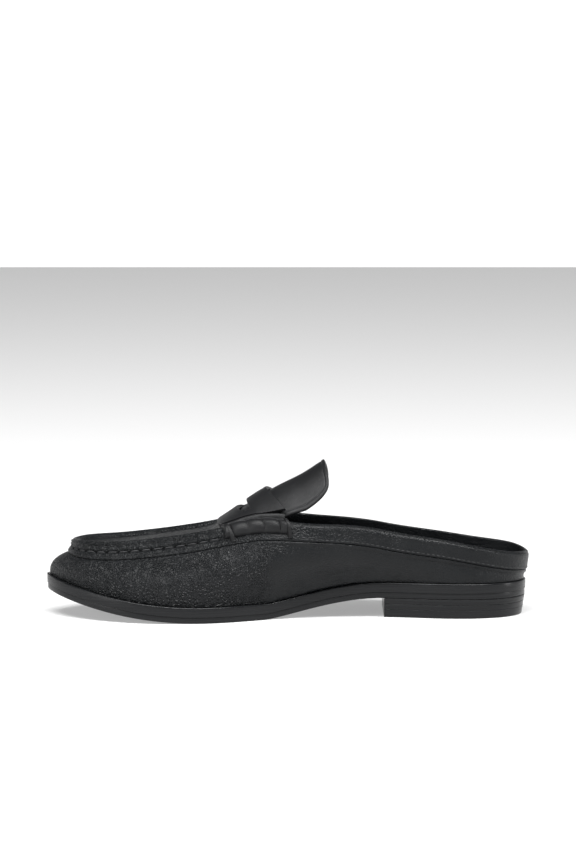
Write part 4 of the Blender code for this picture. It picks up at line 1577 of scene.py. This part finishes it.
class Graph:
    """Adds nodes to one tree and links them."""

    def __init__(self, tree: bpy.types.NodeTree) -> None:
        """Works on one tree."""
        self.tree = tree

    def node(self, kind: str, inputs: dict | None = None, **settings: object) -> bpy.types.Node:
        """A new node.

        Args:
            kind: the node's type, without its ShaderNode prefix.
            inputs: values or sockets for its inputs, by name or number.
            settings: the node's own properties.

        Returns:
            The node.
        """
        made = self.tree.nodes.new(kind if kind.startswith("Node") else f"ShaderNode{kind}")
        for name, value in settings.items():
            setattr(made, name, value)
        for name, value in (inputs or {}).items():
            if isinstance(value, bpy.types.NodeSocket):
                self.tree.links.new(value, made.inputs[name])
            else:
                made.inputs[name].default_value = value
        return made

    def math(self, operation: str, first: object, second: object = 0.0) -> bpy.types.NodeSocket:
        """A Math node's result."""
        made = self.node("Math", {0: first, 1: second}, operation=operation)
        return made.outputs[0]

    def ramp(
        self, value: object, low: float, high: float, start: float, end: float
    ) -> bpy.types.NodeSocket:
        """A smooth change.

        Args:
            value: what drives it.
            low, high: values between which it changes.
            start, end: results at and below low, and at and above high.

        Returns:
            The result's socket.
        """
        inputs = {0: value, 1: low, 2: high, 3: start, 4: end}
        made = self.node("MapRange", inputs, interpolation_type="SMOOTHSTEP")
        return made.outputs[0]


def new_group(
    name: str, inputs: list[tuple[str, str, object]], outputs: list[tuple[str, str]]
) -> tuple[bpy.types.NodeTree, Graph, bpy.types.Node, bpy.types.Node]:
    """An empty shader node group.

    Args:
        name: the group's name.
        inputs: name, socket type and default of each input.
        outputs: name and socket type of each output.

    Returns:
        The group, its graph, its input node and its output node.
    """
    group = bpy.data.node_groups.new(name, "ShaderNodeTree")
    for label, kind, default in inputs:
        socket = group.interface.new_socket(label, in_out="INPUT", socket_type=kind)
        if default is not None:
            socket.default_value = default
    for label, kind in outputs:
        group.interface.new_socket(label, in_out="OUTPUT", socket_type=kind)
    graph = Graph(group)
    return group, graph, graph.node("NodeGroupInput"), graph.node("NodeGroupOutput")


FLOAT, VECTOR, COLOUR = "NodeSocketFloat", "NodeSocketVector", "NodeSocketColor"


class Effects:
    """Shader node groups that more than one material uses, each built once."""

    WOBBLE_SCALE = 0.55
    WOBBLE = (0.9, 0.9, 0.9)
    DOME_EDGE = 0.34
    FINE_SCALE = 3.2
    UNEVEN_SCALE = 0.16
    UNEVEN_FROM, UNEVEN_TO, UNEVEN_LOW = 0.3, 0.7, 0.55
    TONE_SCALE = 55.0
    TONE_FROM, TONE_TO = 0.32, 0.68
    CREASE_DULL = 0.10
    LINE_FROM, LINE_TO = 0.35, 0.65

    def __init__(self) -> None:
        """Builds the groups."""
        self.grain = self.build_grain()
        self.tone = self.build_tone()
        self.layers = self.build_layers()

    def cell_places(
        self, graph: Graph, given: bpy.types.Node
    ) -> tuple[bpy.types.NodeSocket, bpy.types.NodeSocket]:
        """Places measured in grain cells.

        Args:
            graph: the group's graph.
            given: the group's input node.

        Returns:
            The plain places, and the places with a wobble.
        """
        size = graph.math("DIVIDE", 1.0, given.outputs["Cell"])
        tall = graph.math("DIVIDE", size, given.outputs["Stretch"])
        scale = graph.node("CombineXYZ", {0: size, 1: size, 2: tall}).outputs[0]
        inputs = {0: given.outputs["Place"], 1: scale}
        plain = graph.node("VectorMath", inputs, operation="MULTIPLY").outputs[0]
        inputs = {"Vector": plain, "Scale": self.WOBBLE_SCALE, "Detail": 2.0}
        wobble = graph.node("TexNoise", inputs).outputs["Color"]
        inputs = {0: wobble, 1: self.WOBBLE, 2: plain}
        return plain, graph.node("VectorMath", inputs, operation="MULTIPLY_ADD").outputs[0]

    def build_grain(self) -> bpy.types.NodeTree:
        """Pebble grain: domed cells with soft creases between them."""
        group, graph, given, result = new_group(
            "leather_grain",
            [
                ("Place", VECTOR, None),
                ("Cell", FLOAT, 0.0013),
                ("Stretch", FLOAT, 1.25),
                ("Pebble", FLOAT, 1.0),
                ("Fine", FLOAT, 0.3),
            ],
            [("Height", FLOAT), ("Crease", FLOAT)],
        )
        plain, wobbled = self.cell_places(graph, given)
        inputs = {"Vector": wobbled, "Scale": 1.0}
        cells = graph.node("TexVoronoi", inputs, feature="DISTANCE_TO_EDGE")
        dome = graph.ramp(cells.outputs[0], 0.0, self.DOME_EDGE, 0.0, 1.0)
        inputs = {"Vector": plain, "Scale": self.FINE_SCALE, "Detail": 3.0, "Roughness": 0.6}
        fine = graph.node("TexNoise", inputs)
        inputs = {"Vector": plain, "Scale": self.UNEVEN_SCALE, "Detail": 1.0}
        broad = graph.node("TexNoise", inputs).outputs[0]
        uneven = graph.ramp(broad, self.UNEVEN_FROM, self.UNEVEN_TO, self.UNEVEN_LOW, 1.0)
        domes = graph.math("MULTIPLY", dome, uneven)
        pebble = graph.math("MULTIPLY", domes, given.outputs["Pebble"])
        speck = graph.math("MULTIPLY", fine.outputs[0], given.outputs["Fine"])
        graph.tree.links.new(graph.math("ADD", pebble, speck), result.inputs["Height"])
        crease = graph.math("SUBTRACT", 1.0, dome)
        graph.tree.links.new(
            graph.math("MULTIPLY", crease, given.outputs["Pebble"]), result.inputs["Crease"]
        )
        return group

    def build_tone(self) -> bpy.types.NodeTree:
        """Broad, faint change of colour and gloss over a hide, and dust in its creases."""
        group, graph, given, result = new_group(
            "hide_tone",
            [
                ("Place", VECTOR, None),
                ("Colour", COLOUR, None),
                ("Worn", COLOUR, None),
                ("Crease", FLOAT, 0.0),
                ("Rough", FLOAT, 0.5),
                ("Spread", FLOAT, 0.06),
            ],
            [("Colour", COLOUR), ("Rough", FLOAT)],
        )
        inputs = {"Vector": given.outputs["Place"], "Scale": self.TONE_SCALE, "Detail": 3.0}
        broad = graph.node("TexNoise", inputs).outputs[0]
        patch = graph.ramp(broad, self.TONE_FROM, self.TONE_TO, 0.0, 1.0)
        mix = graph.node(
            "Mix",
            {"Factor": patch, 6: given.outputs["Colour"], 7: given.outputs["Worn"]},
            data_type="RGBA",
        )
        graph.tree.links.new(mix.outputs[2], result.inputs["Colour"])
        offset = graph.math("MULTIPLY", graph.math("SUBTRACT", patch, 0.5), given.outputs["Spread"])
        dull = graph.math("MULTIPLY", given.outputs["Crease"], self.CREASE_DULL)
        rough = graph.math("ADD", graph.math("ADD", given.outputs["Rough"], offset), dull)
        graph.tree.links.new(rough, result.inputs["Rough"])
        return group

    def build_layers(self) -> bpy.types.NodeTree:
        """Fine level lines along a burnished, stacked edge."""
        group, graph, given, result = new_group(
            "stacked_lines",
            [("Place", VECTOR, None), ("Pitch", FLOAT, 0.0007), ("Along", FLOAT, 12.0)],
            [("Height", FLOAT), ("Line", FLOAT)],
        )
        tall = graph.math("DIVIDE", 1.0, given.outputs["Pitch"])
        scale = graph.node(
            "CombineXYZ", {0: given.outputs["Along"], 1: given.outputs["Along"], 2: tall}
        ).outputs[0]
        scaled = graph.node("VectorMath", {0: given.outputs["Place"], 1: scale}, operation="MULTIPLY")
        noise = graph.node(
            "TexNoise", {"Vector": scaled.outputs[0], "Scale": 1.0, "Detail": 3.0, "Roughness": 0.7}
        )
        graph.tree.links.new(noise.outputs[0], result.inputs["Height"])
        line = graph.ramp(noise.outputs[0], self.LINE_FROM, self.LINE_TO, 0.0, 1.0)
        graph.tree.links.new(line, result.inputs["Line"])
        return group


def new_material(name: str) -> tuple[bpy.types.Material, Graph, bpy.types.NodeSocket]:
    """A material to fill in.

    Args:
        name: the material's name.

    Returns:
        The material, its graph, and the place on the object as a socket.
    """
    material = bpy.data.materials.new(name)
    material.use_nodes = True
    graph = Graph(material.node_tree)
    return material, graph, graph.node("TexCoord").outputs["Object"]


def connect(
    graph: Graph,
    colour: bpy.types.NodeSocket,
    rough: bpy.types.NodeSocket,
    relief: bpy.types.NodeSocket,
    specular: float,
) -> None:
    """Links a material's shader.

    Args:
        graph: the material's graph.
        colour, rough, relief: sockets for base colour, roughness and normal.
        specular: the shader's specular level.
    """
    shader = graph.tree.nodes["Principled BSDF"]
    for socket, name in ((colour, "Base Color"), (rough, "Roughness"), (relief, "Normal")):
        graph.tree.links.new(socket, shader.inputs[name])
    shader.inputs["Specular IOR Level"].default_value = specular


@dataclass(frozen=True)
class LeatherFinish:
    """A black leather: tone, grain and gloss."""

    name: str
    colour: tuple[float, float, float]
    worn: tuple[float, float, float]
    rough: float
    cell: float
    pebble: float
    fine: float
    depth: float
    stretch: float = 1.25
    spread: float = 0.06
    specular: float = 0.5
    quarter_pebble: float | None = None
    seam_x: tuple[float, float] = (-0.016, -0.006)

    def make(self, effects: Effects) -> bpy.types.Material:
        """The material.

        Args:
            effects: the shared node groups.

        Returns:
            A new material with grain and tone.
        """
        material, graph, at = new_material(self.name)
        pebble: object = self.pebble
        if self.quarter_pebble is not None:
            along = graph.node("SeparateXYZ", {0: at}).outputs[0]
            pebble = graph.ramp(along, *self.seam_x, self.pebble, self.quarter_pebble)
        inputs = {
            "Place": at,
            "Cell": self.cell,
            "Stretch": self.stretch,
            "Pebble": pebble,
            "Fine": self.fine,
        }
        grain = graph.node("Group", inputs, node_tree=effects.grain)
        inputs = {
            "Place": at,
            "Colour": (*self.colour, 1.0),
            "Worn": (*self.worn, 1.0),
            "Crease": grain.outputs["Crease"],
            "Rough": self.rough,
            "Spread": self.spread,
        }
        tone = graph.node("Group", inputs, node_tree=effects.tone)
        relief = graph.node("Bump", {"Distance": self.depth, "Height": grain.outputs["Height"]})
        connect(
            graph, tone.outputs["Colour"], tone.outputs["Rough"], relief.outputs[0], self.specular
        )
        return material


@dataclass(frozen=True)
class EdgeFinish:
    """A burnished black sole edge with fine level lines."""

    name: str
    colour: tuple[float, float, float]
    light: tuple[float, float, float]
    rough: float
    pitch: float
    depth: float
    specular: float = 0.5
    rough_swing: float = 0.05

    def make(self, effects: Effects) -> bpy.types.Material:
        """The material.

        Args:
            effects: the shared node groups.

        Returns:
            A new material with lines in its colour, gloss and relief.
        """
        material, graph, at = new_material(self.name)
        inputs = {"Place": at, "Pitch": self.pitch}
        lines = graph.node("Group", inputs, node_tree=effects.layers)
        line, swing = lines.outputs["Line"], self.rough_swing
        mix = graph.node(
            "Mix",
            {"Factor": line, 6: (*self.colour, 1.0), 7: (*self.light, 1.0)},
            data_type="RGBA",
        )
        rough = graph.ramp(line, 0.0, 1.0, self.rough - swing, self.rough + swing)
        relief = graph.node("Bump", {"Distance": self.depth, "Height": lines.outputs["Height"]})
        connect(graph, mix.outputs[2], rough, relief.outputs[0], self.specular)
        return material


PEBBLED = LeatherFinish(
    "pebbled_leather_finish",
    colour=(0.0038, 0.0045, 0.0052),
    worn=(0.0052, 0.0060, 0.0068),
    rough=0.33,
    cell=0.0014,
    pebble=1.0,
    fine=0.30,
    depth=0.00060,
    quarter_pebble=0.30,
    specular=0.21,
)
SMOOTH = LeatherFinish(
    "fine_leather_finish",
    colour=(0.0060, 0.0062, 0.0068),
    worn=(0.0080, 0.0083, 0.0090),
    rough=0.44,
    cell=0.0009,
    pebble=0.45,
    fine=0.45,
    depth=0.00014,
    specular=0.22,
)
LINING = LeatherFinish(
    "lining_leather_finish",
    colour=(0.0070, 0.0070, 0.0073),
    worn=(0.0090, 0.0090, 0.0094),
    rough=0.60,
    cell=0.0007,
    pebble=0.25,
    fine=0.60,
    depth=0.00006,
    specular=0.20,
)
THREAD = LeatherFinish(
    "waxed_thread_finish",
    colour=(0.0105, 0.0112, 0.0122),
    worn=(0.0140, 0.0148, 0.0160),
    rough=0.50,
    cell=0.0003,
    pebble=0.5,
    fine=0.2,
    depth=0.00005,
    stretch=0.5,
)
# Painted shade: a near-black, dull finish that stands in for the shadow inside each punched hole.
HOLE_SHADE = LeatherFinish(
    "painted_hole_shade_finish",
    colour=(0.0015, 0.0015, 0.0016),
    worn=(0.0020, 0.0020, 0.0021),
    rough=0.90,
    cell=0.0003,
    pebble=0.2,
    fine=0.2,
    depth=0.00002,
    specular=0.1,
)
SOLE_EDGE = EdgeFinish(
    "burnished_edge_finish",
    colour=(0.0050, 0.0053, 0.0060),
    light=(0.0085, 0.0089, 0.0098),
    rough=0.27,
    pitch=0.0008,
    depth=0.00003,
    specular=0.22,
)


@dataclass
class Studio:
    """Pale floor, soft lights, and the camera at the photograph's angle."""

    distance: float = 2.2
    elevation: float = 6.0
    aim_height: float = 0.1000
    view_height: float = 0.4752
    sensor: float = 36.0
    floor_size: float = 6.0
    floor_pale: float = 0.52
    floor_rough: float = 0.9
    floor_glow: float = 0.34
    lamp_aim: float = 0.03
    world: float = 1.25
    ceiling: float = 0.10
    horizon: tuple[float, float] = (0.03, 0.30)

    def build_camera(self) -> None:
        """The camera, from the inner side and a little above."""
        tilt = math.radians(self.elevation)
        data = bpy.data.cameras.new("view")
        data.sensor_width = self.sensor
        data.lens = self.sensor * self.distance / self.view_height
        camera = bpy.data.objects.new("view", data)
        camera.location = (
            0.0,
            -self.distance * math.cos(tilt),
            self.aim_height + self.distance * math.sin(tilt),
        )
        camera.rotation_euler = (math.pi / 2.0 - tilt, 0.0, 0.0)
        bpy.context.scene.collection.objects.link(camera)
        bpy.context.scene.camera = camera

    def build_floor(self) -> None:
        """A plain pale floor."""
        half = self.floor_size / 2.0
        data = bpy.data.meshes.new("floor")
        corners = [(-half, -half, 0.0), (half, -half, 0.0), (half, half, 0.0), (-half, half, 0.0)]
        data.from_pydata(corners, [], [(0, 1, 2, 3)])
        floor = bpy.data.objects.new("floor", data)
        bpy.context.scene.collection.objects.link(floor)
        material = bpy.data.materials.new("pale_floor")
        material.use_nodes = True
        shader = material.node_tree.nodes["Principled BSDF"]
        shader.inputs["Base Color"].default_value = (*[self.floor_pale] * 3, 1.0)
        shader.inputs["Roughness"].default_value = self.floor_rough
        shader.inputs["Emission Color"].default_value = (1.0, 1.0, 1.0, 1.0)
        shader.inputs["Emission Strength"].default_value = self.floor_glow
        data.materials.append(material)

    def lamp(
        self, name: str, at: tuple[float, float, float], size: tuple[float, float], power: float
    ) -> None:
        """A soft box that points at the shoe.

        Args:
            name: the lamp's name.
            at: where it stands.
            size: its width and height.
            power: its power in watts.
        """
        data = bpy.data.lights.new(name, "AREA")
        data.shape = "RECTANGLE"
        data.size, data.size_y = size
        data.energy = power
        made = bpy.data.objects.new(name, data)
        made.location = at
        made.rotation_euler = look_along(UP * self.lamp_aim - np.array(at))
        bpy.context.scene.collection.objects.link(made)

    def build_world(self) -> None:
        """Pale surroundings, white at the horizon and darker overhead."""
        world = bpy.data.worlds.new("surroundings")
        world.use_nodes = True
        graph = Graph(world.node_tree)
        up = graph.node("SeparateXYZ", {0: graph.node("TexCoord").outputs["Generated"]}).outputs[2]
        level = graph.ramp(up, *self.horizon, self.world, self.ceiling)
        background = world.node_tree.nodes["Background"]
        world.node_tree.links.new(level, background.inputs["Strength"])
        background.inputs["Color"].default_value = (1.0, 1.0, 1.0, 1.0)
        bpy.context.scene.world = world

    def build_lights(self) -> None:
        """Three soft boxes: over the shoe, by its toe and by its heel."""
        self.lamp("top_box", (0.0, -0.85, 2.1), (2.4, 0.8), 120.0)
        self.lamp("toe_box", (-1.5, -1.0, 0.5), (0.7, 0.9), 9.0)
        self.lamp("heel_box", (1.6, -0.35, 0.5), (0.30, 1.0), 9.0)

    def build(self) -> None:
        """Everything round the shoe."""
        self.build_camera()
        self.build_floor()
        self.build_world()
        self.build_lights()
        bpy.context.scene.view_settings.view_transform = "Standard"


def look_along(direction: Array) -> tuple[float, float, float]:
    """Turn that points a lamp's own -Z along a direction."""
    x, y, z = unit(direction)
    return math.acos(-z), 0.0, math.atan2(-x, y)


def dress(made: bpy.types.Object, material: bpy.types.Material, slot: str, *nodes: str) -> None:
    """Gives a piece its material and its body, and hides the CAD nodes that it stands for.

    Args:
        made: the piece.
        material: its finish.
        slot: not used.
        nodes: the CAD nodes that it replaces; none where it only adds to them.
    """
    made.data.materials.clear()
    made.data.materials.append(material)
    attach(made, "root")
    if nodes:
        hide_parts(*nodes)
    LOG.info("%s: %d faces", made.name, len(made.data.polygons))


def main() -> None:
    """Builds the shoe, its materials and the studio."""
    logging.basicConfig(level=logging.INFO, format="%(name)s: %(message)s")
    effects = Effects()
    pebbled, smooth = PEBBLED.make(effects), SMOOTH.make(effects)
    lining, thread = LINING.make(effects), THREAD.make(effects)
    punched, edge = HOLE_SHADE.make(effects), SOLE_EDGE.make(effects)
    last = Last()
    Studio().build()
    seam = MocSeam(last)
    upper = Upper(last, seam)
    dress(upper.build(), pebbled, "pebbled_leather", "upper")
    stitches = MocStitches(seam, upper)
    dress(stitches.build_thread(), thread, "smooth_leather")
    # The hole dimples carry painted shade: a near-black finish in place of the shadow inside each
    # hole.
    dress(stitches.build_holes(), punched, "smooth_leather")
    dress(CollarStitches(last, upper).build(), thread, "smooth_leather")
    dress(Tongue(last, upper).build(), smooth, "smooth_leather", "tongue")
    dress(SaddleStrap(last).build(), smooth, "smooth_leather", "saddle_strap")
    for side in Side:
        roll = StrapRoll(last, upper, side)
        dress(roll.build(), smooth, "smooth_leather", f"roll_{side.name.lower()}")
        for strip in roll.build_strips():
            dress(strip, smooth, "smooth_leather")
    sole = SoleUnit(last)
    dress(sole.build_insole(), lining, "lining_leather", "insole")
    dress(sole.build_midsole(), edge, "sole_rubber", "midsole")
    dress(sole.build_outsole(), edge, "sole_rubber", "outsole")
    nodes = ("top_piece", "heel_lift_2", "heel_lift_1")
    for made, node in zip(sole.build_heel(), nodes):
        dress(made, edge, "sole_rubber", node)


if __name__ == "__main__":
    main()
